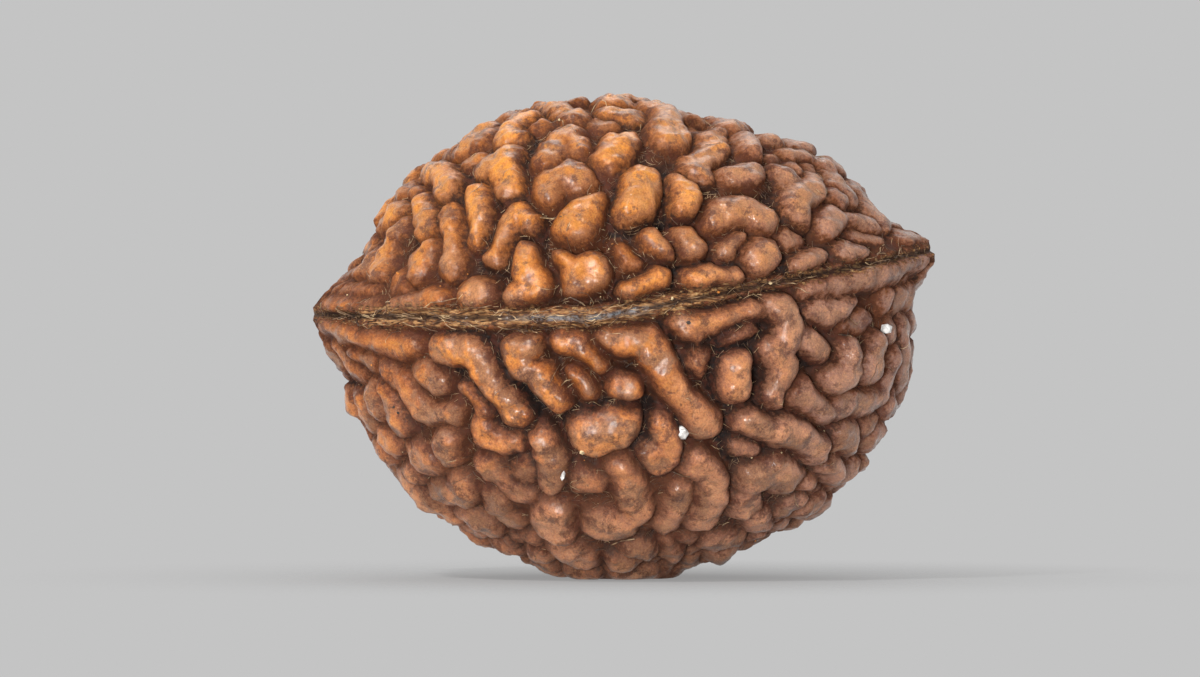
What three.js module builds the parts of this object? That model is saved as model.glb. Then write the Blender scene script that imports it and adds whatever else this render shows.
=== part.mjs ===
// A two-faced rudraksha bead: the stone of the blue marble fruit, one solid piece, dried and cleaned.
// Two lobes meet at a seam that runs round the stone through both pointed ends, and the whole
// surface is raised into close-set knobs and winding ridges with narrow furrows between them.
// Millimetres, +Z up. The seam faces -Y and +Y, the pointed ends face -X and +X, and the stone
// lies on one lobe, on a small flat at Z = 0. The origin is on that plane, under the middle.
import * as THREE from "three";
import { mergeVertices } from "three/addons/utils/BufferGeometryUtils.js";

// Body, without its relief. The seam crosses the front at this place, seen from -Y.
const SEAM_CENTRE = { x: -1.0, z: 8.95 };
const HALF_DEPTH = 8.3;
// The outline seen from -Y, as [degrees, radius] round the seam's centre, tips left out.
const OUTLINE = [
  [0, 10.1], [25, 9.3], [40, 8.35], [55, 7.28], [70, 6.8], [90, 6.65], [110, 6.65],
  [130, 6.78], [150, 7.15], [165, 7.4], [180, 7.8], [195, 8.05], [212, 8.08], [225, 8.02],
  [240, 7.9], [255, 8.08], [270, 8.4], [285, 8.4], [300, 8.75], [315, 9.25], [330, 9.75], [345, 10.15],
];
// The two pointed ends: direction and spread in degrees, and how far they stand out of the body.
const TIPS = [
  { angle: 180, spread: 9.5, height: 1.2 },
  { angle: 10.8, spread: 5.5, height: 1.4 },
];
// A tip thins out along the seam over this many degrees round from the end.
const TIP_REACH = 42;

// The small flat spot under the mass centre that the bead rests on, and the width of its rounded rim.
const REST = { x: 0.2, y: 0, radius: 1.4, rim: 0.8 };

// Relief. A crest stands at most this high over a full furrow, and less where its knob is narrow.
const CREST = 0.85;
const CREST_PER_WIDTH = 1.7;
const CREST_CHANGE = 0.1;
const SUNKEN = 0.55;
// A knob's foot spreads this far past its half width where no other knob is in the way. A half is
// round in section, and more is more pointed.
const FOOT = 0.2;
const DOME = 0.52;
// Where three knobs meet, their corners are rounded off by this much.
const CORNER = 0.16;
// A gap wider than two feet drops this much further, less so round the rim.
const PIT = { depth: 0.3, rimShare: 0.3 };
// Knobs that all but touch are joined by a saddle, and knobs this far apart have a full furrow.
const JOINED_GAP = -0.3;
const OPEN_GAP = 0.12;
const JOINED_FURROW = 0.4;
// Furrows are deepest across the middle of each face, and shallow round the rim.
const DEEP = { x: 0.8, z: 8.6, halfLength: 6.5, halfHeight: 4.4, cut: 0.3 };
const RIM_FURROW = 0.45;
const FURROW_FLOOR = 0.5;
// Knobs wander off their drawn lines by this much, in waves of a few millimetres.
const WANDER = 0.1;
const LEAST_SLANT = 0.5;
// Each tip is smooth, with a skin this high, and the knobs start this far from it.
const TIP_SKIN = { height: 0.5, reach: 1.3 };
// Straight pieces in a quarter of the seam's line.
const SEAM_STEPS = 12;
// The fibrous seam: a low band that narrows to a crack between two lips at each end.
const BAND = { halfWidth: 0.3, height: 0.42, endHalfWidth: 0.1 };
// It starts to narrow, and is at its narrowest, this far out towards -X and +X.
const BAND_NARROWS = { left: [7.5, 9.5], right: [1.5, 4.5] };
const GROOVE = { halfWidth: 0.12, depth: 0.12, endDepth: 0.28 };

// Knobs and ridges that face -Y. Each is one stroke or a few that run into each other, and a stroke is
// [half width, x, z, x, z, ...] along its crest.
const UPPER_LOBE = [
  [[0.36, -9.5, 10.15, -8.3, 10.4]], [[0.3, -9.3, 9.72, -8.2, 9.72]],
  [[0.5, -7.85, 10.35, -7.55, 11.0, -7.15, 11.7]], [[0.45, -8.25, 11.35, -8.15, 10.95]],
  [
    [0.55, -7.75, 12.0, -7.55, 12.6], [0.5, -7.25, 13.05, -6.9, 13.6],
    [0.5, -6.4, 13.75, -5.85, 13.35, -5.45, 12.85],
  ],
  [[0.48, -6.5, 12.65, -6.3, 12.1, -6.3, 11.7]],
  [[0.42, -5.75, 12.15, -5.7, 11.6, -5.35, 11.05, -5.45, 10.5]], [[0.5, -6.25, 10.95, -6.65, 10.45]],
  [[0.3, -7.35, 10.12, -7.0, 9.98]], [[0.42, -7.25, 9.4, -6.5, 9.45, -5.95, 9.65]],
  [[0.55, -5.0, 9.65, -4.65, 9.7]], [[0.7, -5.05, 14.6, -4.55, 14.75]],
  [
    [0.6, -3.35, 15.15, -3.6, 14.4], [0.52, -3.85, 13.9, -3.7, 13.2, -3.7, 12.9],
    [0.3, -4.3, 13.75, -4.25, 13.45],
  ],
  [[0.5, -2.5, 15.75, -2.25, 15.4, -1.9, 15.1]], [[0.45, -1.75, 16.0, -1.45, 15.65]],
  [[0.42, -1.85, 14.75, -2.3, 14.3, -2.35, 13.95], [0.35, -1.65, 14.4, -1.3, 14.1]],
  [[0.45, -2.6, 12.85, -2.45, 13.35, -1.85, 13.5, -1.5, 13.3]],
  [[0.58, -0.55, 15.25, -0.1, 15.85, 0.5, 16.0], [0.6, 0.9, 15.75, 1.3, 15.1, 1.25, 14.35]],
  [[0.58, -0.25, 14.5, -0.4, 13.85]], [[0.64, 0.45, 13.2, 0.3, 12.45]], [[0.48, 1.65, 13.0, 1.8, 12.55]],
  [[0.48, 3.0, 14.85, 2.75, 14.35, 2.35, 13.9, 2.45, 13.55]], [[0.4, 1.6, 15.75, 2.05, 15.45]],
  [
    [0.5, 2.85, 15.5, 3.45, 15.3, 3.85, 15.15], [0.42, 3.9, 14.6, 3.95, 14.15],
    [0.4, 3.35, 13.5, 4.05, 13.5],
  ],
  [[0.63, 3.2, 12.15, 3.75, 12.35, 4.3, 12.2]], [[0.58, 4.5, 11.1, 4.3, 10.75]],
  [[0.38, 3.35, 11.05, 3.75, 11.4]], [[0.5, 2.2, 10.15, 2.6, 10.45], [0.36, 2.9, 10.45, 3.65, 10.25]],
  [[0.42, 0.15, 9.95, 0.65, 10.08, 1.0, 10.12]], [[0.45, 0.9, 11.4, 1.2, 11.2]],
  [[0.45, 1.95, 11.5, 2.2, 11.25]], [[0.62, -1.2, 12.45, -1.6, 11.75]],
  [[0.62, -1.15, 10.5, -1.6, 10.15], [0.33, -2.05, 10.75, -1.9, 10.6]],
  [[0.45, -3.3, 10.9, -3.15, 10.35, -2.85, 9.9], [0.4, -2.95, 9.7, -3.6, 9.58]],
  [[0.42, -3.45, 12.2, -3.75, 11.7, -4.05, 11.0], [0.33, -3.3, 12.1, -2.95, 11.85]],
  [[0.45, -4.45, 12.9, -4.75, 12.2, -4.75, 11.5]],
  [[0.38, 4.95, 13.55, 5.15, 13.35], [0.55, 6.0, 13.2, 5.7, 12.7, 5.65, 12.35]],
  [[0.42, 5.2, 13.95, 5.9, 14.05, 6.5, 13.75], [0.58, 6.75, 13.2, 7.05, 12.95]],
  [[0.48, 7.8, 13.35, 7.9, 12.85]], [[0.36, 4.9, 14.8, 5.7, 14.6, 6.6, 14.3, 7.3, 13.9]],
  [[0.48, 6.5, 12.0, 6.85, 12.1], [0.38, 7.2, 12.05, 7.8, 11.95]], [[0.26, 7.55, 11.55, 8.15, 11.5]],
  [[0.32, 7.8, 12.4, 8.5, 12.25, 9.1, 11.95]], [[0.42, 5.75, 10.6, 6.1, 10.85]],
  [[0.4, 7.15, 11.1, 7.7, 11.05]],
];
const LOWER_LOBE = [
  [[0.42, -9.35, 7.85, -8.85, 7.35, -8.35, 7.1]], [[0.36, -8.7, 7.65, -8.0, 7.4]],
  [[0.42, -7.7, 7.25, -7.1, 6.7, -6.6, 6.05, -6.2, 5.75, -5.6, 5.75]], [[0.45, -6.6, 7.3, -6.1, 6.9]],
  [[0.45, -7.55, 6.6, -7.35, 6.0, -7.15, 5.45]],
  [[0.58, -8.3, 6.2, -8.2, 5.6], [0.52, -8.15, 5.0, -7.9, 4.6], [0.5, -7.8, 3.75, -7.3, 3.55]],
  [[0.35, -9.0, 6.55, -9.1, 6.1]], [[0.35, -9.65, 7.45, -9.4, 6.95]], [[0.7, -6.55, 4.4, -6.4, 4.35]],
  [[0.45, -5.65, 5.05, -5.6, 4.55]], [[0.68, -5.8, 3.2, -5.2, 3.45], [0.5, -6.2, 2.5, -5.7, 2.35]],
  [[0.45, -7.1, 2.95, -6.8, 2.85]], [[0.62, -5.0, 1.95, -4.4, 1.6]],
  [[0.47, -5.95, 8.05, -5.0, 8.0, -4.65, 7.65], [0.52, -4.5, 7.3, -4.15, 6.7, -3.75, 6.05, -3.5, 5.65]],
  [[0.32, -4.95, 6.7, -4.6, 6.2, -4.45, 5.85], [0.37, -4.55, 5.4, -4.35, 5.0, -3.85, 4.85, -3.5, 4.9]],
  [
    [0.48, -3.45, 8.0, -3.0, 8.05], [0.42, -3.4, 7.65, -3.15, 7.3],
    [0.45, -2.6, 7.0, -2.5, 6.7, -2.15, 6.35],
  ],
  [[0.45, -1.9, 8.15, -1.45, 8.05], [0.37, -1.25, 7.8, -0.8, 7.4]], [[0.36, -1.55, 7.0, -1.25, 6.65]],
  [[0.47, -0.45, 8.35, 0.3, 8.3, 0.85, 8.2], [0.54, 1.1, 7.7, 1.4, 7.0, 1.85, 6.3, 2.35, 5.8, 2.75, 5.5]],
  [[0.47, -0.2, 6.8, 0.1, 6.7]], [[0.74, -1.18, 5.25, -0.3, 5.52]],
  [[0.42, 1.2, 5.4, 1.38, 5.0, 1.34, 4.6], [0.4, 1.05, 4.3, 0.6, 4.5]],
  [[0.45, -2.75, 5.0, -2.5, 4.4, -2.5, 3.9]], [[0.35, -1.45, 3.7, -1.0, 3.6]],
  [[0.63, -0.75, 2.35, -0.35, 2.3], [0.48, -0.25, 4.0, 0.1, 3.4, 0.4, 2.7]],
  [[0.58, -2.35, 2.7, -2.25, 2.1]],
  [[0.45, -4.2, 4.1, -3.7, 3.8, -3.3, 3.3], [0.45, -4.15, 3.1, -4.0, 2.6, -3.6, 2.25]],
  [[0.3, -3.15, 1.7, -2.85, 1.75]], [[0.5, -2.6, 0.85, -2.2, 0.75], [0.45, -1.6, 0.75, -1.05, 0.75]],
  [[0.36, -3.8, 1.15, -3.4, 1.0]], [[0.58, -0.2, 0.8, 0.45, 0.75], [0.38, 0.3, 1.55, 0.8, 1.5]],
  [[0.5, 2.3, 4.15, 2.8, 3.6, 2.9, 2.95, 2.55, 2.4]],
  [[0.42, 1.85, 3.35, 1.65, 2.8, 1.45, 2.3], [0.28, 1.42, 1.8, 1.5, 1.3, 1.45, 0.7]],
  [[0.42, 2.0, 1.3, 1.95, 0.75]], [[0.52, 2.85, 1.65, 3.35, 1.65]], [[0.38, 2.7, 0.85, 3.3, 0.9]],
  [[0.53, 3.68, 7.35, 3.62, 6.6]],
  [
    [0.4, 1.85, 8.85, 2.6, 8.85, 3.4, 8.97, 4.15, 9.1], [0.36, 2.15, 8.45, 2.45, 8.35],
    [0.48, 4.95, 9.3, 5.25, 9.3], [0.52, 5.35, 8.75, 5.25, 8.4],
    [0.4, 4.75, 7.95, 5.15, 7.4, 5.15, 6.8, 4.95, 6.35], [0.42, 5.95, 8.2, 6.3, 7.8],
  ],
  [[0.5, 6.7, 6.95, 7.2, 7.1], [0.4, 7.3, 7.6, 7.25, 8.05], [0.37, 8.25, 8.05, 8.1, 7.6, 7.8, 7.1]],
  [
    [0.42, 5.65, 6.45, 5.95, 6.1, 6.5, 5.8], [0.46, 7.0, 6.0, 7.6, 5.95, 8.1, 6.1],
    [0.44, 8.3, 6.5, 8.55, 6.95, 8.8, 7.4],
  ],
  [[0.45, 9.3, 7.9, 9.35, 7.2], [0.48, 9.2, 6.5, 9.0, 5.9]], [[0.53, 7.75, 5.0, 8.15, 4.95]],
  [[0.4, 8.85, 5.3, 8.75, 4.85]],
  [[0.5, 4.1, 5.5, 4.9, 5.4, 5.6, 5.1, 6.2, 4.6], [0.48, 6.45, 4.15, 6.75, 3.75]],
  [[0.28, 3.8, 4.7, 4.35, 4.65]],
  [[0.6, 4.3, 3.85, 4.9, 3.95, 5.25, 3.7], [0.42, 3.9, 3.1, 3.9, 2.75], [0.42, 4.25, 2.5, 4.3, 2.1]],
  [[0.48, 5.65, 2.75, 6.1, 2.9]], [[0.38, 5.0, 2.3, 5.1, 2.0]], [[0.48, 7.35, 4.0, 7.8, 3.75]],
  [[0.42, 6.95, 3.2, 7.2, 3.3]], [[0.38, 4.5, 1.65, 5.2, 1.8]], [[0.38, 3.9, 1.35, 4.2, 1.5]],
  [[0.52, 6.35, 9.05, 7.1, 9.3]], [[0.48, 8.6, 9.4, 9.25, 9.5]], [[0.48, 8.95, 8.8, 9.4, 8.6]],
  [[0.3, 7.25, 8.75, 7.9, 8.65]],
];
// Knobs that lie low between the others.
const SUNKEN_KNOBS = [
  [[0.4, 0.0, 11.05, 0.1, 10.75]], [[0.4, 5.3, 11.55, 5.6, 11.4]], [[0.4, 2.6, 7.85, 2.45, 7.5]],
  [[0.34, 3.6, 8.4, 4.05, 8.55]], [[0.42, -3.4, 3.9, -3.2, 4.1]], [[0.4, 2.3, 15.0, 2.4, 14.7]],
];
// Lips beside the seam at each end. They run round the end to the other side too.
const LIPS = [
  [[0.42, -10.1, 9.2, -9.0, 9.25, -8.05, 9.12]],
  [[0.42, -10.0, 8.45, -8.9, 8.35, -8.3, 8.2], [0.42, -8.1, 8.15, -7.4, 8.1, -6.95, 8.02]],
  [[0.4, 8.5, 11.42, 9.3, 11.55, 10.1, 11.5]],
  [[0.42, 6.9, 10.0, 7.8, 10.2, 8.8, 10.4, 9.7, 10.62, 10.3, 10.85], [0.4, 6.1, 9.8, 6.6, 9.8]],
];

// Knobs on the sides that the lists don't reach grow by a rule: three passes, wide to narrow.
const GROWTH = [
  { tries: 2500, least: 0.5, most: 0.7, steps: 3 },
  { tries: 2500, least: 0.38, most: 0.48, steps: 2 },
  { tries: 2500, least: 0.26, most: 0.34, steps: 0 },
];
// They may run into each other: this share of two half widths is kept between their crests.
const GROWTH_ROOM = 0.85;
// The rule leaves alone what the lists cover: the side facing -Y, past this latitude.
const LISTED_LATITUDE = 0.42;
const GROWTH_STEP = 0.62;
const GROWTH_TURN = 1.1;
const SEED = 20117;

// Mesh. The icosahedron's edges are cut into one more than this many pieces.
const DETAIL = 23;
// The ball's corners slide along it for so many rounds, those lower than the parting height downhill.
const SETTLE = { rounds: 16, evenShare: 0.3, stride: 0.016, parting: 0.5 };
const FINISH = { rounds: 6, evenShare: 0.06, stride: 0.006, parting: 0.35 };
const PROBE = 0.006;
const LEAST_SLOPE = 0.02;
const TURN_GAIN = 0.9;
const LEAST_TURN = 1e-4;

const radians = (degrees) => (degrees * Math.PI) / 180;

// A periodic Catmull-Rom curve through the outline's radii.
function outlineRadius(angle) {
  const turn = ((THREE.MathUtils.radToDeg(angle) % 360) + 360) % 360;
  const n = OUTLINE.length;
  let i = n - 1;
  while (OUTLINE[i][0] > turn) i -= 1;
  const at = (k) => OUTLINE[((k % n) + n) % n];
  const span = ((at(i + 1)[0] - at(i)[0] + 360) % 360);
  const t = (turn - at(i)[0]) / span;
  const [a, b, c, d] = [at(i - 1)[1], at(i)[1], at(i + 1)[1], at(i + 2)[1]];
  return b + 0.5 * t * (c - a + t * (2 * a - 5 * b + 4 * c - d + t * (3 * (b - c) + d - a)));
}

// The body's radius in the outline's plane, at an angle round it and a latitude towards the seam's centre.
function bodyRadius(angle, latitude) {
  let radius = outlineRadius(angle);
  for (const tip of TIPS) {
    const away = angle - radians(tip.angle);
    const off = Math.atan2(Math.sin(away), Math.cos(away)) / radians(tip.spread);
    const along = latitude / radians(TIP_REACH);
    radius += tip.height * Math.exp(-off * off - along * along);
  }
  return radius;
}

// The body's surface at an angle and a latitude, positive on the side that faces -Y.
function bodySurface(angle, latitude) {
  const radius = bodyRadius(angle, latitude);
  const out = Math.cos(latitude);
  const point = new THREE.Vector3(
    SEAM_CENTRE.x + radius * out * Math.cos(angle),
    -HALF_DEPTH * Math.sin(latitude),
    SEAM_CENTRE.z + radius * out * Math.sin(angle),
  );
  const normal = new THREE.Vector3(
    (out * Math.cos(angle)) / radius,
    -Math.sin(latitude) / HALF_DEPTH,
    (out * Math.sin(angle)) / radius,
  ).normalize();
  return { point, normal };
}

// A crest's line on the body from its places as seen from -Y, or from +Y where side is -1. Towards the
// outline a line's length away from the eye is a guess, held to knobs of an ordinary length.
function crestLine(places, side) {
  const seen = [];
  for (let i = 0; i < places.length; i += 2) {
    const [right, up] = [places[i] - SEAM_CENTRE.x, places[i + 1] - SEAM_CENTRE.z];
    const angle = Math.atan2(up, right);
    let reach = 0;
    let latitude = 0.5;
    for (let round = 0; round < 12; round += 1) {
      reach = Math.hypot(right, up) / bodyRadius(angle, latitude);
      latitude = Math.acos(Math.min(0.999, reach));
    }
    seen.push({ angle, reach });
  }
  const middle = Math.min(0.999, seen.reduce((sum, { reach }) => sum + reach, 0) / seen.length);
  const latitude = Math.acos(middle);
  const slant = Math.max(LEAST_SLANT, Math.sin(latitude));
  const place = ({ angle, reach }) => bodySurface(angle, side * (latitude - (reach - middle) / slant)).point;
  return seen.map(place);
}

// A knob's strokes, each marked with the knob that it belongs to.
function strokesOf(strokes, number, share = 1) {
  const broadest = Math.max(...strokes.map((stroke) => stroke.halfWidth));
  const change = 1 - CREST_CHANGE * (1 + Math.cos(2.4 * number));
  const knob = { broadest, height: share * change * Math.min(CREST, CREST_PER_WIDTH * broadest) };
  return strokes.map((stroke) => ({ ...stroke, knob }));
}

function strokesFromTable(table, side = 1, share = 1) {
  const toStroke = ([halfWidth, ...places]) => ({ halfWidth, points: crestLine(places, side) });
  return table.flatMap((strokes, i) => strokesOf(strokes.map(toStroke), i, share));
}

function distanceToLine(p, points) {
  if (points.length === 1) return p.distanceTo(points[0]);
  let nearest = Infinity;
  for (let i = 1; i < points.length; i += 1) {
    const a = points[i - 1];
    const b = points[i];
    const [dx, dy, dz] = [b.x - a.x, b.y - a.y, b.z - a.z];
    const [px, py, pz] = [p.x - a.x, p.y - a.y, p.z - a.z];
    const share = Math.min(1, Math.max(0, (px * dx + py * dy + pz * dz) / (dx * dx + dy * dy + dz * dz)));
    nearest = Math.min(nearest, Math.hypot(px - share * dx, py - share * dy, pz - share * dz));
  }
  return nearest;
}

// The seam's line on both sides, from the tip at -X over the centre to the tip at +X.
function seamLine(side) {
  const quarter = (tip) => {
    const steps = Array.from({ length: SEAM_STEPS + 1 }, (_, i) => (side * i * Math.PI) / (2 * SEAM_STEPS));
    return steps.map((latitude) => bodySurface(radians(tip.angle), latitude).point);
  };
  return [...quarter(TIPS[0]), ...quarter(TIPS[1]).reverse()];
}
const SEAM = [seamLine(1), seamLine(-1)];
const distanceToSeam = (p) => Math.min(distanceToLine(p, SEAM[0]), distanceToLine(p, SEAM[1]));

// Numbers between 0 and 1 that come out the same on each run.
let drawn = SEED;
function draw() {
  drawn = (drawn * 16807) % 2147483647;
  return drawn / 2147483647;
}

// Throws places at the body and keeps each that clears the knobs so far, then lets its line creep on.
function growKnobs(strokes) {
  const room = (stroke, halfWidth) => GROWTH_ROOM * (stroke.halfWidth + halfWidth);
  const free = (p, halfWidth) =>
    distanceToSeam(p) > BAND.halfWidth + halfWidth &&
    strokes.every((stroke) => distanceToLine(p, stroke.points) > room(stroke, halfWidth));
  for (const pass of GROWTH) {
    for (let i = 0; i < pass.tries; i += 1) {
      const rise = 2 * draw() - 1;
      const turn = 2 * Math.PI * draw();
      const halfWidth = pass.least + (pass.most - pass.least) * draw();
      let heading = 2 * Math.PI * draw();
      const start = bodySurface(turn, Math.asin(rise));
      if (Math.asin(rise) > LISTED_LATITUDE || !free(start.point, halfWidth)) continue;
      const points = [start.point];
      let { point, normal } = start;
      for (let step = 0; step < pass.steps; step += 1) {
        heading += GROWTH_TURN * (draw() - 0.5);
        const east = new THREE.Vector3(0, 0, 1).cross(normal).normalize();
        const north = normal.clone().cross(east);
        const goal = point.clone().addScaledVector(east, GROWTH_STEP * Math.cos(heading));
        goal.addScaledVector(north, GROWTH_STEP * Math.sin(heading));
        const next = onBody(goal);
        if (!free(next.point, halfWidth)) break;
        points.push(next.point);
        ({ point, normal } = next);
      }
      strokes.push(...strokesOf([{ points, halfWidth }], i));
    }
  }
  return strokes;
}

// The body's surface nearest to a place that is already close to it.
function onBody(place) {
  const angle = Math.atan2(place.z - SEAM_CENTRE.z, place.x - SEAM_CENTRE.x);
  const reach = Math.hypot(place.x - SEAM_CENTRE.x, place.z - SEAM_CENTRE.z);
  let latitude = 0.5;
  for (let i = 0; i < 8; i += 1) {
    latitude = Math.atan2(-place.y / HALF_DEPTH, reach / bodyRadius(angle, Math.abs(latitude)));
  }
  return bodySurface(angle, latitude);
}

const STROKES = growKnobs([
  ...strokesFromTable(UPPER_LOBE),
  ...strokesFromTable(LOWER_LOBE),
  ...strokesFromTable(SUNKEN_KNOBS, 1, SUNKEN),
  ...strokesFromTable(LIPS),
  ...strokesFromTable(LIPS, -1),
]);

// The strokes are looked up by the cell of space that a place is in.
const CELL = 1.2;
const cellOf = (value) => Math.floor(value / CELL);
const CELLS = new Map();
for (const stroke of STROKES) {
  const box = new THREE.Box3().setFromPoints(stroke.points).expandByScalar(stroke.halfWidth + 2 * FOOT);
  for (let i = cellOf(box.min.x); i <= cellOf(box.max.x); i += 1) {
    for (let j = cellOf(box.min.y); j <= cellOf(box.max.y); j += 1) {
      for (let l = cellOf(box.min.z); l <= cellOf(box.max.z); l += 1) {
        const key = `${i},${j},${l}`;
        if (!CELLS.has(key)) CELLS.set(key, []);
        CELLS.get(key).push(stroke);
      }
    }
  }
}

function wandered(p) {
  return new THREE.Vector3(
    p.x + WANDER * Math.sin(1.9 * p.y + 1.3 * p.z),
    p.y + WANDER * Math.sin(2.2 * p.z + 1.1 * p.x),
    p.z + WANDER * Math.sin(1.7 * p.x + 2.1 * p.y),
  );
}

const TIP_POINTS = TIPS.map((tip) => bodySurface(radians(tip.angle), 0).point);

// The relief's height over the body. Each knob is a dome that falls to its foot, or to the furrow half
// way to its neighbour, and the seam's band is one more such form, with a groove along its middle.
function reliefAt(p) {
  const { clamp, smoothstep, lerp } = THREE.MathUtils;
  const seam = distanceToSeam(p);
  const end = Math.max(smoothstep(p.x, ...BAND_NARROWS.right), smoothstep(-p.x, ...BAND_NARROWS.left));
  let nearest = { broadest: lerp(BAND.halfWidth, BAND.endHalfWidth, end), height: BAND.height };
  const [right, up] = [(p.x - DEEP.x) / DEEP.halfLength, (p.z - DEEP.z) / DEEP.halfHeight];
  const deep = Math.exp(-(right ** 4) - up ** 4);
  let past = seam - nearest.broadest;
  let pastNext = 2 * FOOT;
  const q = wandered(p);
  const near = CELLS.get(`${cellOf(q.x)},${cellOf(q.y)},${cellOf(q.z)}`) ?? [];
  for (const { points, halfWidth, knob } of near) {
    const away = distanceToLine(q, points) - halfWidth;
    if (away < past) {
      pastNext = knob === nearest ? pastNext : past;
      past = away;
      nearest = knob;
    } else if (away < pastNext && knob !== nearest) pastNext = away;
  }
  const open = lerp(JOINED_FURROW, 1, smoothstep(past + pastNext, JOINED_GAP, OPEN_GAP));
  const floor = FURROW_FLOOR * (1 - open * lerp(RIM_FURROW, 1, deep)) - DEEP.cut * deep * open;
  const [toNext, toFoot] = [(pastNext - past) / 2, FOOT - past];
  const share = clamp(0.5 + (toFoot - toNext) / (2 * CORNER), 0, 1);
  const inside = Math.max(0, lerp(toFoot, toNext, share) - CORNER * share * (1 - share));
  const rise = Math.min(1, inside / (nearest.broadest + 0.3 * FOOT));
  const pit = clamp(past - FOOT, 0, PIT.depth) * lerp(PIT.rimShare, 1, deep);
  const dome = floor + (nearest.height - floor) * (rise * (2 - rise)) ** DOME - pit;
  const closeness = (point) => Math.exp(-((p.distanceTo(point) / TIP_SKIN.reach) ** 2));
  const tip = Math.max(...TIP_POINTS.map(closeness));
  const groove = lerp(GROOVE.depth, GROOVE.endDepth, end) * (1 - 0.6 * tip);
  return lerp(dome, TIP_SKIN.height, tip) - groove * Math.exp(-((seam / GROOVE.halfWidth) ** 2));
}

// The finished surface in a direction out from the middle.
function surface(direction) {
  const { point, normal } = bodySurface(Math.atan2(direction.z, direction.x), Math.asin(-direction.y));
  const height = reliefAt(point);
  return { point: point.addScaledVector(normal, height), height };
}

// A ball of even triangles, whose corners then settle into furrows and onto crests.
function evenBall() {
  const geometry = new THREE.IcosahedronGeometry(1, DETAIL);
  geometry.deleteAttribute("normal");
  geometry.deleteAttribute("uv");
  const merged = mergeVertices(geometry, 1e-5);
  const places = merged.getAttribute("position");
  const directions = [];
  for (let i = 0; i < places.count; i += 1) {
    directions.push(new THREE.Vector3().fromBufferAttribute(places, i).normalize());
  }
  return { directions, corners: Array.from(merged.index.array) };
}

// Evens the corners out along the surface, and slides the low ones down to the furrow's bottom.
function settle(directions, corners, { rounds, evenShare, stride, parting }) {
  const rings = directions.map(() => new Set());
  for (let i = 0; i < corners.length; i += 3) {
    for (let j = 0; j < 3; j += 1) {
      rings[corners[i + j]].add(corners[i + ((j + 1) % 3)]);
      rings[corners[i + ((j + 1) % 3)]].add(corners[i + j]);
    }
  }
  for (let round = 0; round < rounds; round += 1) {
    const moved = directions.map((d, i) => {
      const mean = new THREE.Vector3();
      for (const j of rings[i]) mean.add(directions[j]);
      const next = d.clone().lerp(mean.divideScalar(rings[i].size), evenShare).normalize();
      const here = surface(next).height;
      if (here > parting) return next;
      const east = new THREE.Vector3(-next.z, 0, next.x).normalize();
      const north = east.clone().cross(next);
      const aside = (x, y) => next.clone().addScaledVector(east, x).addScaledVector(north, y).normalize();
      const heightAt = (x, y) => surface(aside(x, y)).height;
      const eastSlope = heightAt(PROBE, 0) - heightAt(-PROBE, 0);
      const northSlope = heightAt(0, PROBE) - heightAt(0, -PROBE);
      const slope = Math.hypot(eastSlope, northSlope);
      if (slope < LEAST_SLOPE) return next;
      const step = (-stride * (1 - round / rounds)) / slope;
      return aside(step * eastSlope, step * northSlope);
    });
    moved.forEach((d, i) => directions[i].copy(d));
  }
}

// Turns the edge between two triangles where the other diagonal lies closer to the surface.
function turnEdges(directions, corners) {
  const count = directions.length;
  const owner = new Map();
  const link = (t) => {
    for (let j = 0; j < 3; j += 1) owner.set(corners[3 * t + j] * count + corners[3 * t + ((j + 1) % 3)], t);
  };
  for (let t = 0; t < corners.length / 3; t += 1) link(t);
  const points = directions.map((d) => surface(d).point);
  const third = (t, a, b) => corners[3 * t] + corners[3 * t + 1] + corners[3 * t + 2] - a - b;
  const miss = (a, b) => {
    const middle = directions[a].clone().add(directions[b]).normalize();
    return surface(middle).point.distanceTo(points[a].clone().lerp(points[b], 0.5));
  };
  const turnsLeft = (a, b, c) => directions[a].clone().cross(directions[b]).dot(directions[c]) > LEAST_TURN;
  for (const key of [...owner.keys()]) {
    const a = Math.floor(key / count);
    const b = key % count;
    if (a > b || !owner.has(key) || !owner.has(b * count + a)) continue;
    const left = owner.get(key);
    const right = owner.get(b * count + a);
    const c = third(left, a, b);
    const d = third(right, a, b);
    if (owner.has(c * count + d) || owner.has(d * count + c)) continue;
    if (!turnsLeft(a, d, c) || !turnsLeft(d, b, c) || miss(c, d) > TURN_GAIN * miss(a, b)) continue;
    owner.delete(key);
    owner.delete(b * count + a);
    corners.splice(3 * left, 3, a, d, c);
    corners.splice(3 * right, 3, d, b, c);
    link(left);
    link(right);
  }
}

const { directions, corners } = evenBall();
settle(directions, corners, SETTLE);
turnEdges(directions, corners);
settle(directions, corners, FINISH);
turnEdges(directions, corners);
turnEdges(directions, corners);

const geometry = new THREE.BufferGeometry();
const places = new Float32Array(3 * directions.length);
directions.forEach((d, i) => {
  const { point } = surface(d);
  const fromRest = Math.hypot(point.x - REST.x, point.y - REST.y);
  const lift = d.z < 0 ? THREE.MathUtils.smoothstep(fromRest, REST.radius, REST.radius + REST.rim) : 1;
  point.z = lift * Math.max(point.z, 0);
  point.toArray(places, 3 * i);
});
geometry.setAttribute("position", new THREE.BufferAttribute(places, 3));
geometry.setIndex(corners);
const stone = new THREE.MeshStandardMaterial({ color: 0x9a5a2e, roughness: 0.55, metalness: 0 });
const bead = new THREE.Mesh(geometry, stone);
bead.name = "bead";

const group = new THREE.Group();
group.add(bead);
export default group;
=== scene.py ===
import math
import bmesh
import bpy
import numpy as np
from mathutils import Matrix, Vector, noise
from mathutils.bvhtree import BVHTree


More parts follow.
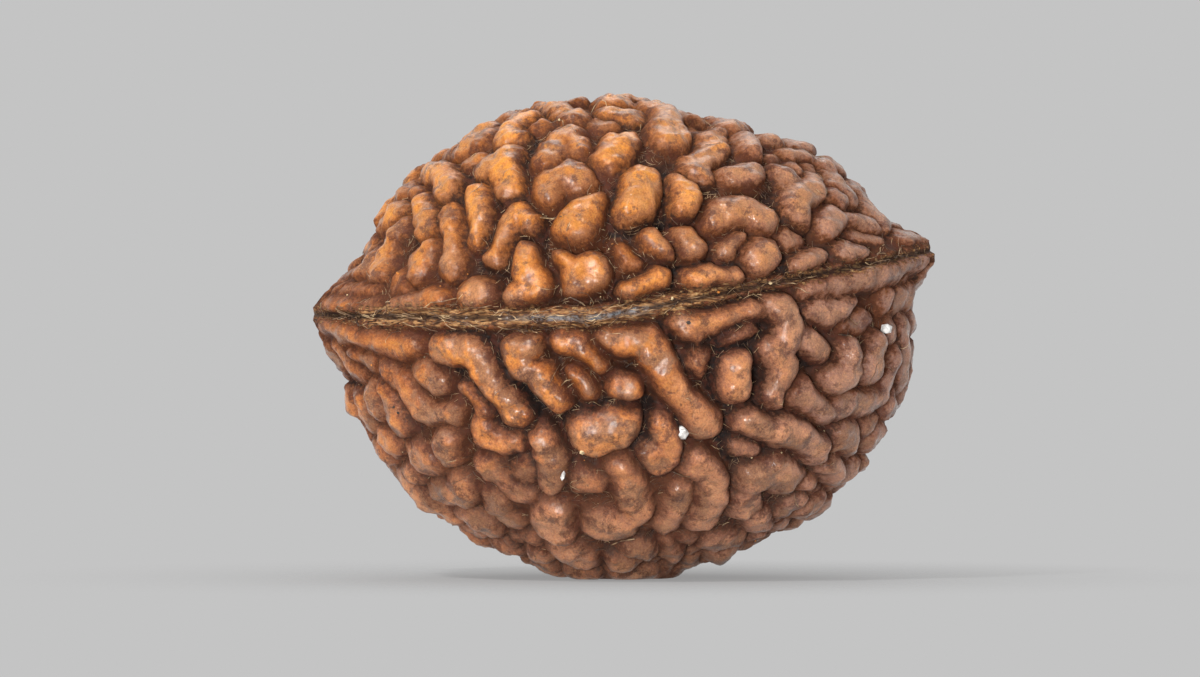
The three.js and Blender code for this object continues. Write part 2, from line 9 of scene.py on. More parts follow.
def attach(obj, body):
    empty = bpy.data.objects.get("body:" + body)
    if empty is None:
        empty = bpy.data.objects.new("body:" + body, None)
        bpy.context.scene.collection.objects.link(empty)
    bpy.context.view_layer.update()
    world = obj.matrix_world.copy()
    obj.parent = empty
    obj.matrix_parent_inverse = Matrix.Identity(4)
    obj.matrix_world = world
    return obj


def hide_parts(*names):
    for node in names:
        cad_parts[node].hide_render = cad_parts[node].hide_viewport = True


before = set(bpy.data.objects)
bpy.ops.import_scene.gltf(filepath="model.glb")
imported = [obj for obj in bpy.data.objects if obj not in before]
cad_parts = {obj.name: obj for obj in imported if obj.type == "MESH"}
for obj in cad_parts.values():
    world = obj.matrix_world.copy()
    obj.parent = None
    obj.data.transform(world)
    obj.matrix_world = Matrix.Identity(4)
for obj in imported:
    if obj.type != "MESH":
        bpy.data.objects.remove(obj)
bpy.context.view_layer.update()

# The stone's body
# The stone of a rudraksha fruit, a hard wood that the fruit's flesh has rotted and been brushed off.
# It is a fat lens of two lobes. A seam runs round it through both pointed ends, and crosses the face
# at -Y. Lengths here are millimetres until the mesh is made.
SEAM_X = -1.0
SEAM_Z = 8.95
HALF_DEPTH = 8.3
# Degrees round the seam's centre, and the outline's radius there under its knobs.
OUTLINE = [
    [0, 10.1], [25, 9.3], [40, 8.35], [55, 7.28], [70, 6.8], [90, 6.65], [110, 6.65],
    [130, 6.78], [150, 7.15], [165, 7.4], [180, 7.8], [195, 8.05], [212, 8.08], [225, 8.02],
    [240, 7.9], [255, 8.08], [270, 8.4], [285, 8.4], [300, 8.75], [315, 9.25], [330, 9.75], [345, 10.15],
]
# Each end's direction and spread in degrees, how far it stands out, and how far round it reaches.
TIPS = [(180, 9.5, 1.2), (10.8, 5.5, 1.4)]
TIP_REACH = math.radians(42)


def outline_radius(angle):
    """The radius on a smooth curve through the outline's listed ones."""
    turns = np.array([turn for turn, radius in OUTLINE], float)
    radii = np.array([radius for turn, radius in OUTLINE], float)
    turn = np.degrees(angle) % 360
    i = np.searchsorted(turns, turn, side="right") - 1
    n = len(turns)
    share = (turn - turns[i]) / ((turns[(i + 1) % n] - turns[i]) % 360)
    a, b, c, d = radii[i - 1], radii[i], radii[(i + 1) % n], radii[(i + 2) % n]
    return b + 0.5 * share * (c - a + share * (2 * a - 5 * b + 4 * c - d + share * (3 * (b - c) + d - a)))


def body_radius(angle, latitude):
    """The outline's radius with the two ends drawn out."""
    radius = outline_radius(angle)
    for turn, spread, height in TIPS:
        away = angle - math.radians(turn)
        off = np.arctan2(np.sin(away), np.cos(away)) / math.radians(spread)
        radius = radius + height * np.exp(-off ** 2 - (latitude / TIP_REACH) ** 2)
    return radius


def body_surface(angle, latitude):
    """The body's point and normal, for an angle round the outline and a latitude towards -Y."""
    radius = body_radius(angle, latitude)
    out = np.cos(latitude)
    point = np.stack([
        SEAM_X + radius * out * np.cos(angle),
        -HALF_DEPTH * np.sin(latitude),
        SEAM_Z + radius * out * np.sin(angle),
    ], axis=-1)
    normal = np.stack([
        out * np.cos(angle) / radius,
        -np.sin(latitude) / HALF_DEPTH,
        out * np.sin(angle) / radius,
    ], axis=-1)
    return point, normal / np.linalg.norm(normal, axis=-1, keepdims=True)


def on_body(place):
    """The body's point and normal under a place close to it."""
    angle = np.arctan2(place[2] - SEAM_Z, place[0] - SEAM_X)
    reach = np.hypot(place[0] - SEAM_X, place[2] - SEAM_Z)
    latitude = 0.5
    for _ in range(8):
        latitude = np.arctan2(-place[1] / HALF_DEPTH, reach / body_radius(angle, abs(latitude)))
    return body_surface(angle, latitude)


# The knobs
# Hard woody warts and winding ridges, close set, with furrows between them where fibres and dust
# stay. Each is its crest's line with a half width, seen from -Y: [half width, x, z, x, z, ...].
UPPER_LOBE = [
    [[0.36, -9.5, 10.15, -8.3, 10.4]], [[0.3, -9.3, 9.72, -8.2, 9.72]],
    [[0.5, -7.85, 10.35, -7.55, 11.0, -7.15, 11.7]], [[0.45, -8.25, 11.35, -8.15, 10.95]],
    [
        [0.55, -7.75, 12.0, -7.55, 12.6], [0.5, -7.25, 13.05, -6.9, 13.6],
        [0.5, -6.4, 13.75, -5.85, 13.35, -5.45, 12.85],
    ],
    [[0.48, -6.5, 12.65, -6.3, 12.1, -6.3, 11.7]],
    [[0.42, -5.75, 12.15, -5.7, 11.6, -5.35, 11.05, -5.45, 10.5]], [[0.5, -6.25, 10.95, -6.65, 10.45]],
    [[0.3, -7.35, 10.12, -7.0, 9.98]], [[0.42, -7.25, 9.4, -6.5, 9.45, -5.95, 9.65]],
    [[0.55, -5.0, 9.65, -4.65, 9.7]], [[0.7, -5.05, 14.6, -4.55, 14.75]],
    [
        [0.6, -3.35, 15.15, -3.6, 14.4], [0.52, -3.85, 13.9, -3.7, 13.2, -3.7, 12.9],
        [0.3, -4.3, 13.75, -4.25, 13.45],
    ],
    [[0.5, -2.5, 15.75, -2.25, 15.4, -1.9, 15.1]], [[0.45, -1.75, 16.0, -1.45, 15.65]],
    [[0.42, -1.85, 14.75, -2.3, 14.3, -2.35, 13.95], [0.35, -1.65, 14.4, -1.3, 14.1]],
    [[0.45, -2.6, 12.85, -2.45, 13.35, -1.85, 13.5, -1.5, 13.3]],
    [[0.58, -0.55, 15.25, -0.1, 15.85, 0.5, 16.0], [0.6, 0.9, 15.75, 1.3, 15.1, 1.25, 14.35]],
    [[0.58, -0.25, 14.5, -0.4, 13.85]], [[0.64, 0.45, 13.2, 0.3, 12.45]], [[0.48, 1.65, 13.0, 1.8, 12.55]],
    [[0.48, 3.0, 14.85, 2.75, 14.35, 2.35, 13.9, 2.45, 13.55]], [[0.4, 1.6, 15.75, 2.05, 15.45]],
    [
        [0.5, 2.85, 15.5, 3.45, 15.3, 3.85, 15.15], [0.42, 3.9, 14.6, 3.95, 14.15],
        [0.4, 3.35, 13.5, 4.05, 13.5],
    ],
    [[0.63, 3.2, 12.15, 3.75, 12.35, 4.3, 12.2]], [[0.58, 4.5, 11.1, 4.3, 10.75]],
    [[0.38, 3.35, 11.05, 3.75, 11.4]], [[0.5, 2.2, 10.15, 2.6, 10.45], [0.36, 2.9, 10.45, 3.65, 10.25]],
    [[0.42, 0.15, 9.95, 0.65, 10.08, 1.0, 10.12]], [[0.45, 0.9, 11.4, 1.2, 11.2]],
    [[0.45, 1.95, 11.5, 2.2, 11.25]], [[0.62, -1.2, 12.45, -1.6, 11.75]],
    [[0.62, -1.15, 10.5, -1.6, 10.15], [0.33, -2.05, 10.75, -1.9, 10.6]],
    [[0.45, -3.3, 10.9, -3.15, 10.35, -2.85, 9.9], [0.4, -2.95, 9.7, -3.6, 9.58]],
    [[0.42, -3.45, 12.2, -3.75, 11.7, -4.05, 11.0], [0.33, -3.3, 12.1, -2.95, 11.85]],
    [[0.45, -4.45, 12.9, -4.75, 12.2, -4.75, 11.5]],
    [[0.38, 4.95, 13.55, 5.15, 13.35], [0.55, 6.0, 13.2, 5.7, 12.7, 5.65, 12.35]],
    [[0.42, 5.2, 13.95, 5.9, 14.05, 6.5, 13.75], [0.58, 6.75, 13.2, 7.05, 12.95]],
    [[0.48, 7.8, 13.35, 7.9, 12.85]], [[0.36, 4.9, 14.8, 5.7, 14.6, 6.6, 14.3, 7.3, 13.9]],
    [[0.48, 6.5, 12.0, 6.85, 12.1], [0.38, 7.2, 12.05, 7.8, 11.95]], [[0.26, 7.55, 11.55, 8.15, 11.5]],
    [[0.32, 7.8, 12.4, 8.5, 12.25, 9.1, 11.95]], [[0.42, 5.75, 10.6, 6.1, 10.85]],
    [[0.4, 7.15, 11.1, 7.7, 11.05]],
]
LOWER_LOBE = [
    [[0.42, -9.35, 7.85, -8.85, 7.35, -8.35, 7.1]], [[0.36, -8.7, 7.65, -8.0, 7.4]],
    [[0.42, -7.7, 7.25, -7.1, 6.7, -6.6, 6.05, -6.2, 5.75, -5.6, 5.75]], [[0.45, -6.6, 7.3, -6.1, 6.9]],
    [[0.45, -7.55, 6.6, -7.35, 6.0, -7.15, 5.45]],
    [[0.58, -8.3, 6.2, -8.2, 5.6], [0.52, -8.15, 5.0, -7.9, 4.6], [0.5, -7.8, 3.75, -7.3, 3.55]],
    [[0.35, -9.0, 6.55, -9.1, 6.1]], [[0.35, -9.65, 7.45, -9.4, 6.95]], [[0.7, -6.55, 4.4, -6.4, 4.35]],
    [[0.45, -5.65, 5.05, -5.6, 4.55]], [[0.68, -5.8, 3.2, -5.2, 3.45], [0.5, -6.2, 2.5, -5.7, 2.35]],
    [[0.45, -7.1, 2.95, -6.8, 2.85]], [[0.62, -5.0, 1.95, -4.4, 1.6]],
    [[0.47, -5.95, 8.05, -5.0, 8.0, -4.65, 7.65], [0.52, -4.5, 7.3, -4.15, 6.7, -3.75, 6.05, -3.5, 5.65]],
    [[0.32, -4.95, 6.7, -4.6, 6.2, -4.45, 5.85], [0.37, -4.55, 5.4, -4.35, 5.0, -3.85, 4.85, -3.5, 4.9]],
    [
        [0.48, -3.45, 8.0, -3.0, 8.05], [0.42, -3.4, 7.65, -3.15, 7.3],
        [0.45, -2.6, 7.0, -2.5, 6.7, -2.15, 6.35],
    ],
    [[0.45, -1.9, 8.15, -1.45, 8.05], [0.37, -1.25, 7.8, -0.8, 7.4]], [[0.36, -1.55, 7.0, -1.25, 6.65]],
    [[0.47, -0.45, 8.35, 0.3, 8.3, 0.85, 8.2], [0.54, 1.1, 7.7, 1.4, 7.0, 1.85, 6.3, 2.35, 5.8, 2.75, 5.5]],
    [[0.47, -0.2, 6.8, 0.1, 6.7]], [[0.74, -1.18, 5.25, -0.3, 5.52]],
    [[0.42, 1.2, 5.4, 1.38, 5.0, 1.34, 4.6], [0.4, 1.05, 4.3, 0.6, 4.5]],
    [[0.45, -2.75, 5.0, -2.5, 4.4, -2.5, 3.9]], [[0.35, -1.45, 3.7, -1.0, 3.6]],
    [[0.63, -0.75, 2.35, -0.35, 2.3], [0.48, -0.25, 4.0, 0.1, 3.4, 0.4, 2.7]],
    [[0.58, -2.35, 2.7, -2.25, 2.1]],
    [[0.45, -4.2, 4.1, -3.7, 3.8, -3.3, 3.3], [0.45, -4.15, 3.1, -4.0, 2.6, -3.6, 2.25]],
    [[0.3, -3.15, 1.7, -2.85, 1.75]], [[0.5, -2.6, 0.85, -2.2, 0.75], [0.45, -1.6, 0.75, -1.05, 0.75]],
    [[0.36, -3.8, 1.15, -3.4, 1.0]], [[0.58, -0.2, 0.8, 0.45, 0.75], [0.38, 0.3, 1.55, 0.8, 1.5]],
    [[0.5, 2.3, 4.15, 2.8, 3.6, 2.9, 2.95, 2.55, 2.4]],
    [[0.42, 1.85, 3.35, 1.65, 2.8, 1.45, 2.3], [0.28, 1.42, 1.8, 1.5, 1.3, 1.45, 0.7]],
    [[0.42, 2.0, 1.3, 1.95, 0.75]], [[0.52, 2.85, 1.65, 3.35, 1.65]], [[0.38, 2.7, 0.85, 3.3, 0.9]],
    [[0.53, 3.68, 7.35, 3.62, 6.6]],
    [
        [0.4, 1.85, 8.85, 2.6, 8.85, 3.4, 8.97, 4.15, 9.1], [0.36, 2.15, 8.45, 2.45, 8.35],
        [0.48, 4.95, 9.3, 5.25, 9.3], [0.52, 5.35, 8.75, 5.25, 8.4],
        [0.4, 4.75, 7.95, 5.15, 7.4, 5.15, 6.8, 4.95, 6.35], [0.42, 5.95, 8.2, 6.3, 7.8],
    ],
    [[0.5, 6.7, 6.95, 7.2, 7.1], [0.4, 7.3, 7.6, 7.25, 8.05], [0.37, 8.25, 8.05, 8.1, 7.6, 7.8, 7.1]],
    [
        [0.42, 5.65, 6.45, 5.95, 6.1, 6.5, 5.8], [0.46, 7.0, 6.0, 7.6, 5.95, 8.1, 6.1],
        [0.44, 8.3, 6.5, 8.55, 6.95, 8.8, 7.4],
    ],
    [[0.45, 9.3, 7.9, 9.35, 7.2], [0.48, 9.2, 6.5, 9.0, 5.9]], [[0.53, 7.75, 5.0, 8.15, 4.95]],
    [[0.4, 8.85, 5.3, 8.75, 4.85]],
    [[0.5, 4.1, 5.5, 4.9, 5.4, 5.6, 5.1, 6.2, 4.6], [0.48, 6.45, 4.15, 6.75, 3.75]],
    [[0.28, 3.8, 4.7, 4.35, 4.65]],
    [[0.6, 4.3, 3.85, 4.9, 3.95, 5.25, 3.7], [0.42, 3.9, 3.1, 3.9, 2.75], [0.42, 4.25, 2.5, 4.3, 2.1]],
    [[0.48, 5.65, 2.75, 6.1, 2.9]], [[0.38, 5.0, 2.3, 5.1, 2.0]], [[0.48, 7.35, 4.0, 7.8, 3.75]],
    [[0.42, 6.95, 3.2, 7.2, 3.3]], [[0.38, 4.5, 1.65, 5.2, 1.8]], [[0.38, 3.9, 1.35, 4.2, 1.5]],
    [[0.52, 6.35, 9.05, 7.1, 9.3]], [[0.48, 8.6, 9.4, 9.25, 9.5]], [[0.48, 8.95, 8.8, 9.4, 8.6]],
    [[0.3, 7.25, 8.75, 7.9, 8.65]],
]
# These lie lower than the knobs round them.
SUNKEN_KNOBS = [
    [[0.4, 0.0, 11.05, 0.1, 10.75]], [[0.4, 5.3, 11.55, 5.6, 11.4]], [[0.4, 2.6, 7.85, 2.45, 7.5]],
    [[0.34, 3.6, 8.4, 4.05, 8.55]], [[0.42, -3.4, 3.9, -3.2, 4.1]], [[0.4, 2.3, 15.0, 2.4, 14.7]],
]
# Lips beside the seam at each end, the same on the side that faces +Y.
LIPS = [
    [[0.42, -10.1, 9.2, -9.0, 9.25, -8.05, 9.12]],
    [[0.42, -10.0, 8.45, -8.9, 8.35, -8.3, 8.2], [0.42, -8.1, 8.15, -7.4, 8.1, -6.95, 8.02]],
    [[0.4, 8.5, 11.42, 9.3, 11.55, 10.1, 11.5]],
    [[0.42, 6.9, 10.0, 7.8, 10.2, 8.8, 10.4, 9.7, 10.62, 10.3, 10.85], [0.4, 6.1, 9.8, 6.6, 9.8]],
]
# A crest stands at most this high over a full furrow, and less where its knob is narrow. Up to twice
# the next share is taken off it, from knob to knob, and a sunken knob keeps the last share.
CREST = 0.85
CREST_PER_WIDTH = 1.7
CREST_CHANGE = 0.1
SUNKEN = 0.55
# Lengths that slope away from the eye are drawn out by at most one over this.
LEAST_SLANT = 0.5
BAND_HALF_WIDTH = 0.3
# Elsewhere the knobs grow by a rule in three passes: tries, least and most half width, steps.
GROWTH = [(2500, 0.5, 0.7, 3), (2500, 0.38, 0.48, 2), (2500, 0.26, 0.34, 0)]
# They may run into each other: this share of two half widths is kept between their crests.
GROWTH_ROOM = 0.85
# It leaves alone what the lists cover: the side facing -Y, past this latitude.
LISTED_LATITUDE = 0.42
# A crest grows on by this step, and turns by up to half of this angle in radians. The draws start
# from the seed.
GROWTH_STEP = 0.62
GROWTH_TURN = 1.1
drawn = 20117


def draw():
    """The next of a fixed run of random shares from 0 to 1."""
    global drawn
    drawn = (drawn * 16807) % 2147483647
    return drawn / 2147483647


def crest_line(places, side):
    """Puts places seen from -Y on the body at the spacing they have there, on the side given."""
    seen = []
    for right, up in zip(places[0::2], places[1::2]):
        right -= SEAM_X
        up -= SEAM_Z
        angle = math.atan2(up, right)
        latitude = 0.5
        for _ in range(12):
            reach = math.hypot(right, up) / body_radius(angle, latitude)
            latitude = math.acos(min(0.999, reach))
        seen.append((angle, reach))
    middle = min(0.999, sum(reach for angle, reach in seen) / len(seen))
    latitude = math.acos(middle)
    slant = max(LEAST_SLANT, math.sin(latitude))
    return [body_surface(angle, side * (latitude - (reach - middle) / slant))[0] for angle, reach in seen]


def knob(lines, number, share=1):
    """The knob's lines with their half widths, and its greatest half width and height."""
    broadest = max(half_width for points, half_width in lines)
    change = 1 - CREST_CHANGE * (1 + math.cos(2.4 * number))
    return lines, broadest, share * change * min(CREST, CREST_PER_WIDTH * broadest)


def listed_knobs(table, side=1, share=1):
    """Knobs from a table of their lines, with their heights cut to a share."""
    lines = [[(crest_line(line[1:], side), line[0]) for line in row] for row in table]
    return [knob(row, i, share) for i, row in enumerate(lines)]


def distance_to_pieces(place, starts, ends):
    """How far one place is from each of many straight pieces."""
    along = ends - starts
    length = np.maximum(np.einsum("ij,ij->i", along, along), 1e-12)
    share = np.clip(np.einsum("ij,ij->i", place - starts, along) / length, 0, 1)
    return np.linalg.norm(starts + share[:, None] * along - place, axis=1)


def seam_quarter(turn, side):
    """The seam's places from a tip to the middle of one face."""
    return [body_surface(math.radians(turn), side * i * math.pi / 24)[0] for i in range(13)]


seam_front = np.array(seam_quarter(TIPS[0][0], 1) + seam_quarter(TIPS[1][0], 1)[::-1])
seam_back = np.array(seam_quarter(TIPS[0][0], -1) + seam_quarter(TIPS[1][0], -1)[::-1])
seam_starts = np.concatenate([seam_front[:-1], seam_back[:-1]])
seam_ends = np.concatenate([seam_front[1:], seam_back[1:]])

knobs = listed_knobs(UPPER_LOBE) + listed_knobs(LOWER_LOBE) + listed_knobs(SUNKEN_KNOBS, 1, SUNKEN)
knobs += listed_knobs(LIPS) + listed_knobs(LIPS, -1)
# The straight pieces of all crest lines, noted as the knobs are made, with room for 4000.
piece_room = 4000
piece_starts = np.full((piece_room, 3), 1e3)
piece_ends = np.full((piece_room, 3), 1e3)
piece_widths = np.zeros(piece_room)
piece_count = 0


def note_pieces(points, half_width):
    """Writes a crest line's straight pieces down, for the knobs that grow after it to keep clear of."""
    global piece_count
    for start, end in zip(points[:-1] or points, points[1:] or points):
        piece_starts[piece_count] = start
        piece_ends[piece_count] = end
        piece_widths[piece_count] = half_width
        piece_count += 1


def is_free(place, half_width):
    """Whether a crest may stand here, clear of the seam's band and of the crests written down."""
    if distance_to_pieces(place, seam_starts, seam_ends).min() <= BAND_HALF_WIDTH + half_width:
        return False
    away = distance_to_pieces(place, piece_starts[:piece_count], piece_ends[:piece_count])
    return bool(np.all(away > GROWTH_ROOM * (piece_widths[:piece_count] + half_width)))


for lines, broadest, height in knobs:
    for points, half_width in lines:
        note_pieces(points, half_width)
for tries, least, most, steps in GROWTH:
    for number in range(tries):
        rise = 2 * draw() - 1
        turn = 2 * math.pi * draw()
        half_width = least + (most - least) * draw()
        heading = 2 * math.pi * draw()
        point, normal = body_surface(turn, math.asin(rise))
        if math.asin(rise) > LISTED_LATITUDE or not is_free(point, half_width):
            continue
        points = [point]
        for _ in range(steps):
            heading += GROWTH_TURN * (draw() - 0.5)
            east = np.cross((0, 0, 1), normal)
            east /= np.linalg.norm(east)
            north = np.cross(normal, east)
            goal = point + GROWTH_STEP * (math.cos(heading) * east + math.sin(heading) * north)
            next_point, next_normal = on_body(goal)
            if not is_free(next_point, half_width):
                break
            points.append(next_point)
            point, normal = next_point, next_normal
        note_pieces(points, half_width)
        knobs.append(knob([(points, half_width)], number))

# The stone's surface
# One closed skin of fine triangles: the body with its knobs raised on it, and the seam as a low
# fibrous band that narrows to a crack between two lips at each end.
MM = 0.001
# A knob's foot spreads this far past its half width where no other knob is in the way, and its dome
# takes in this share of the foot. A dome's power is a half where it is round in section, and more
# where it is pointed.
FOOT = 0.2
FOOT_IN_DOME = 0.3
DOME = 0.52
# Where three knobs meet, their corners are rounded off by this much, and a gap wider than two feet
# drops this much further, less so round the rim.
CORNER = 0.16
PIT = 0.3
PIT_RIM_SHARE = 0.3
# Knobs that all but touch are joined by a saddle, and knobs this far apart have a full furrow.
JOINED_GAP = -0.3
OPEN_GAP = 0.12
JOINED_FURROW = 0.4
# Furrows are deepest across the middle of each face, and shallow round the rim.
DEEP_X = 0.8
DEEP_Z = 8.6
DEEP_HALF_LENGTH = 6.5
DEEP_HALF_HEIGHT = 4.4
DEEP_CUT = 0.3
RIM_FURROW = 0.45
FURROW_FLOOR = 0.5
# Knobs' outlines wander by this much in slow waves, and by this much in small bends.
WANDER = 0.1
BENDS_PER_MM = 1.6
BEND = 0.07
# The skin's height over the body at each tip, and how far from the tip it reaches.
TIP_SKIN = 0.5
TIP_SKIN_REACH = 1.3
# The band narrows between these distances along X, towards the high tip and towards the low one.
HIGH_NARROWING = (1.5, 4.5)
LOW_NARROWING = (7.5, 9.5)
BAND_END_HALF_WIDTH = 0.1
BAND_HEIGHT = 0.42
GROOVE_HALF_WIDTH = 0.12
GROOVE_DEPTH = 0.12
GROOVE_END_DEPTH = 0.28
GROOVE_LOST_AT_TIP = 0.6
# The flat spot that the stone rests on, and how far round it the underside still bends to it.
REST_X = 0.2
REST_RADIUS = 1.4
REST_RIM = 0.8
# Unevenness of the crests: repeats per millimetre and height. It is full from this far up.
WRINKLES = [(0.8, 0.13), (2.0, 0.14), (4.6, 0.05)]
WRINKLE_RISE = 0.2
# The colour is the crest's from this far inside a knob's foot, and darkens towards the foot: partly grime
# that handling has not rubbed off, and partly painted shade down the flanks.
CLEAR_OF_GRIME_AND_SHADE = 0.42

bead_mesh = bmesh.new()
bmesh.ops.create_icosphere(bead_mesh, subdivisions=6, radius=1)
bmesh.ops.subdivide_edges(bead_mesh, edges=bead_mesh.edges[:], cuts=2, use_grid_fill=True)
directions = np.array([vert.co.normalized() for vert in bead_mesh.verts])
feet, normals = body_surface(np.arctan2(directions[:, 2], directions[:, 0]), np.arcsin(-directions[:, 1]))


def smooth_step(value, low, high):
    """A share that runs smoothly from 0 at the low value to 1 at the high one."""
    share = np.clip((value - low) / (high - low), 0, 1)
    return share * share * (3 - 2 * share)


def distances(points, starts, ends):
    """How far each of many points is from the nearest of a few straight pieces."""
    least = np.full(len(points), np.inf)
    for start, end in zip(starts, ends):
        along = end - start
        share = np.clip((points - start) @ along / max(along @ along, 1e-12), 0, 1)
        least = np.minimum(least, np.linalg.norm(start + share[:, None] * along - points, axis=1))
    return least


def wandered(points):
    """The points moved a little in waves and bends, so that no knob's outline stays true."""
    x, y, z = points.T
    waves = np.stack([1.9 * y + 1.3 * z, 2.2 * z + 1.1 * x, 1.7 * x + 2.1 * y], axis=-1)
    bends = np.array([noise.noise_vector(Vector(point) * BENDS_PER_MM) * BEND for point in points])
    return points + WANDER * np.sin(waves) + bends


def nearest_knobs(points, past, width):
    """Starts from how far each point is past the seam band's edge and from the band's half width.
    Returns how far it is past the nearest edge and the next, and whose the nearest is, band or knob."""
    past_next = np.full(len(points), 2 * FOOT)
    owner = np.full(len(points), -1)
    height = np.full(len(points), BAND_HEIGHT)
    for number, (lines, broadest, knob_height) in enumerate(knobs):
        corners = np.array([point for line, half_width in lines for point in line])
        middle = (corners.min(axis=0) + corners.max(axis=0)) / 2
        reach = np.linalg.norm(corners - middle, axis=1).max() + broadest + 3 * FOOT
        near = np.nonzero(np.linalg.norm(points - middle, axis=1) < reach)[0]
        away = np.full(len(near), np.inf)
        for line, half_width in lines:
            line = np.array(line)
            starts, ends = (line[:-1], line[1:]) if len(line) > 1 else (line, line)
            away = np.minimum(away, distances(points[near], starts, ends) - half_width)
        wins = away < past[near]
        past_next[near] = np.where(wins, past[near], np.minimum(past_next[near], away))
        past[near] = np.where(wins, away, past[near])
        owner[near] = np.where(wins, number, owner[near])
        width[near] = np.where(wins, broadest, width[near])
        height[near] = np.where(wins, knob_height, height[near])
    return past, past_next, owner, width, height


def relief(points):
    """Each point's height over the body, how far it is inside its knob's foot, its distance from the
    seam, the seam band's half width there, and its knob's number."""
    seam = distances(points, seam_starts, seam_ends)
    end = smooth_step(points[:, 0], *HIGH_NARROWING)
    end = np.maximum(end, smooth_step(-points[:, 0], *LOW_NARROWING))
    band_width = BAND_HALF_WIDTH + (BAND_END_HALF_WIDTH - BAND_HALF_WIDTH) * end
    nearest = nearest_knobs(wandered(points), seam - band_width, band_width.copy())
    past, past_next, owner, width, height = nearest
    deep_x = (points[:, 0] - DEEP_X) / DEEP_HALF_LENGTH
    deep_z = (points[:, 2] - DEEP_Z) / DEEP_HALF_HEIGHT
    deep = np.exp(-deep_x ** 4 - deep_z ** 4)
    open_share = JOINED_FURROW + (1 - JOINED_FURROW) * smooth_step(past + past_next, JOINED_GAP, OPEN_GAP)
    floor = FURROW_FLOOR * (1 - open_share * (RIM_FURROW + (1 - RIM_FURROW) * deep))
    floor -= DEEP_CUT * deep * open_share
    to_next, to_foot = (past_next - past) / 2, FOOT - past
    share = np.clip(0.5 + (to_foot - to_next) / (2 * CORNER), 0, 1)
    inside = np.maximum(0, to_foot + (to_next - to_foot) * share - CORNER * share * (1 - share))
    rise = np.minimum(1, inside / (width + FOOT_IN_DOME * FOOT))
    dome = floor + (height - floor) * (rise * (2 - rise)) ** DOME
    dome -= np.clip(past - FOOT, 0, PIT) * (PIT_RIM_SHARE + (1 - PIT_RIM_SHARE) * deep)
    tip = np.zeros(len(points))
    for turn, spread, stand in TIPS:
        tip_point = body_surface(math.radians(turn), 0)[0]
        tip = np.maximum(tip, np.exp(-(np.linalg.norm(points - tip_point, axis=1) / TIP_SKIN_REACH) ** 2))
    groove = (GROOVE_DEPTH + (GROOVE_END_DEPTH - GROOVE_DEPTH) * end) * (1 - GROOVE_LOST_AT_TIP * tip)
    skin = dome + (TIP_SKIN - dome) * tip
    return skin - groove * np.exp(-(seam / GROOVE_HALF_WIDTH) ** 2), inside, seam, band_width, owner


# The noise is seeded, so that every run gives the same stone.
noise.seed_set(4)
height, inside, seam, band_width, owner = relief(feet)
surface = feet + normals * height[:, None]
from_rest = np.hypot(surface[:, 0] - REST_X, surface[:, 1])
lift = np.where(directions[:, 2] < 0, smooth_step(from_rest, REST_RADIUS, REST_RADIUS + REST_RIM), 1)
surface[:, 2] = lift * np.maximum(surface[:, 2], 0)
wrinkle = np.array([
    sum(noise.noise(Vector(point) * scale) * size for scale, size in WRINKLES)
    for point in surface
])
surface += normals * (wrinkle * lift * np.clip(surface[:, 2] / WRINKLE_RISE, 0, 1))[:, None]
for vert, point in zip(bead_mesh.verts, surface):
    vert.co = point * MM
bead_mesh.normal_update()
surface_tree = BVHTree.FromBMesh(bead_mesh)
stone_mesh = bpy.data.meshes.new("stone")
bead_mesh.to_mesh(stone_mesh)
bead_mesh.free()
stone_mesh.polygons.foreach_set("use_smooth", [True] * len(stone_mesh.polygons))
# The material reads how far each place stands out of the furrows, its distances from the seam and
# from the edge of the seam's band in millimetres, and its knob's own tone, from 0 to 1.
tone = np.array([(0.5 + 0.5 * math.sin(7.1 * number + 1.3)) if number >= 0 else 0.5 for number in owner])
# The lower a place lies and the nearer its knob's foot, the darker the material paints it: partly grime,
# and partly painted shade in the furrows and down the flanks.
exposed = 0.45 * height / CREST + 0.55 * np.clip(inside / CLEAR_OF_GRIME_AND_SHADE, 0, 1)
for name, values in (("level", exposed), ("seam", seam), ("past_band", seam - band_width), ("tone", tone)):
    layer = stone_mesh.attributes.new(name, "FLOAT", "POINT")
    layer.data.foreach_set("value", values.astype(np.float32))
bead = bpy.data.objects.new("rudraksha_bead", stone_mesh)
bpy.context.collection.objects.link(bead)


def from_hex(code):
    """A linear colour from an sRGB hex value."""
    parts = [int(code[i:i + 2], 16) / 255 for i in (1, 3, 5)]
    return tuple(c / 12.92 if c <= 0.04045 else ((c + 0.055) / 1.055) ** 2.4 for c in parts) + (1,)


def add(tree, kind, inputs=None, stops=None, **settings):
    """Adds a node, sets its properties, fills its inputs or links them, and fills a ramp's stops."""
    node = tree.nodes.new("ShaderNode" + kind)
    for name, value in settings.items():
        setattr(node, name, value)
    for name, value in (inputs or {}).items():
        if isinstance(value, bpy.types.Node):
            value = value.outputs[0]
        if isinstance(value, bpy.types.NodeSocket):
            tree.links.new(value, node.inputs[name])
        else:
            node.inputs[name].default_value = value
    for number, (position, colour) in enumerate(stops or []):
        elements = node.color_ramp.elements
        element = elements[number] if number < 2 else elements.new(position)
        element.position = position
        element.color = from_hex(colour)
    return node
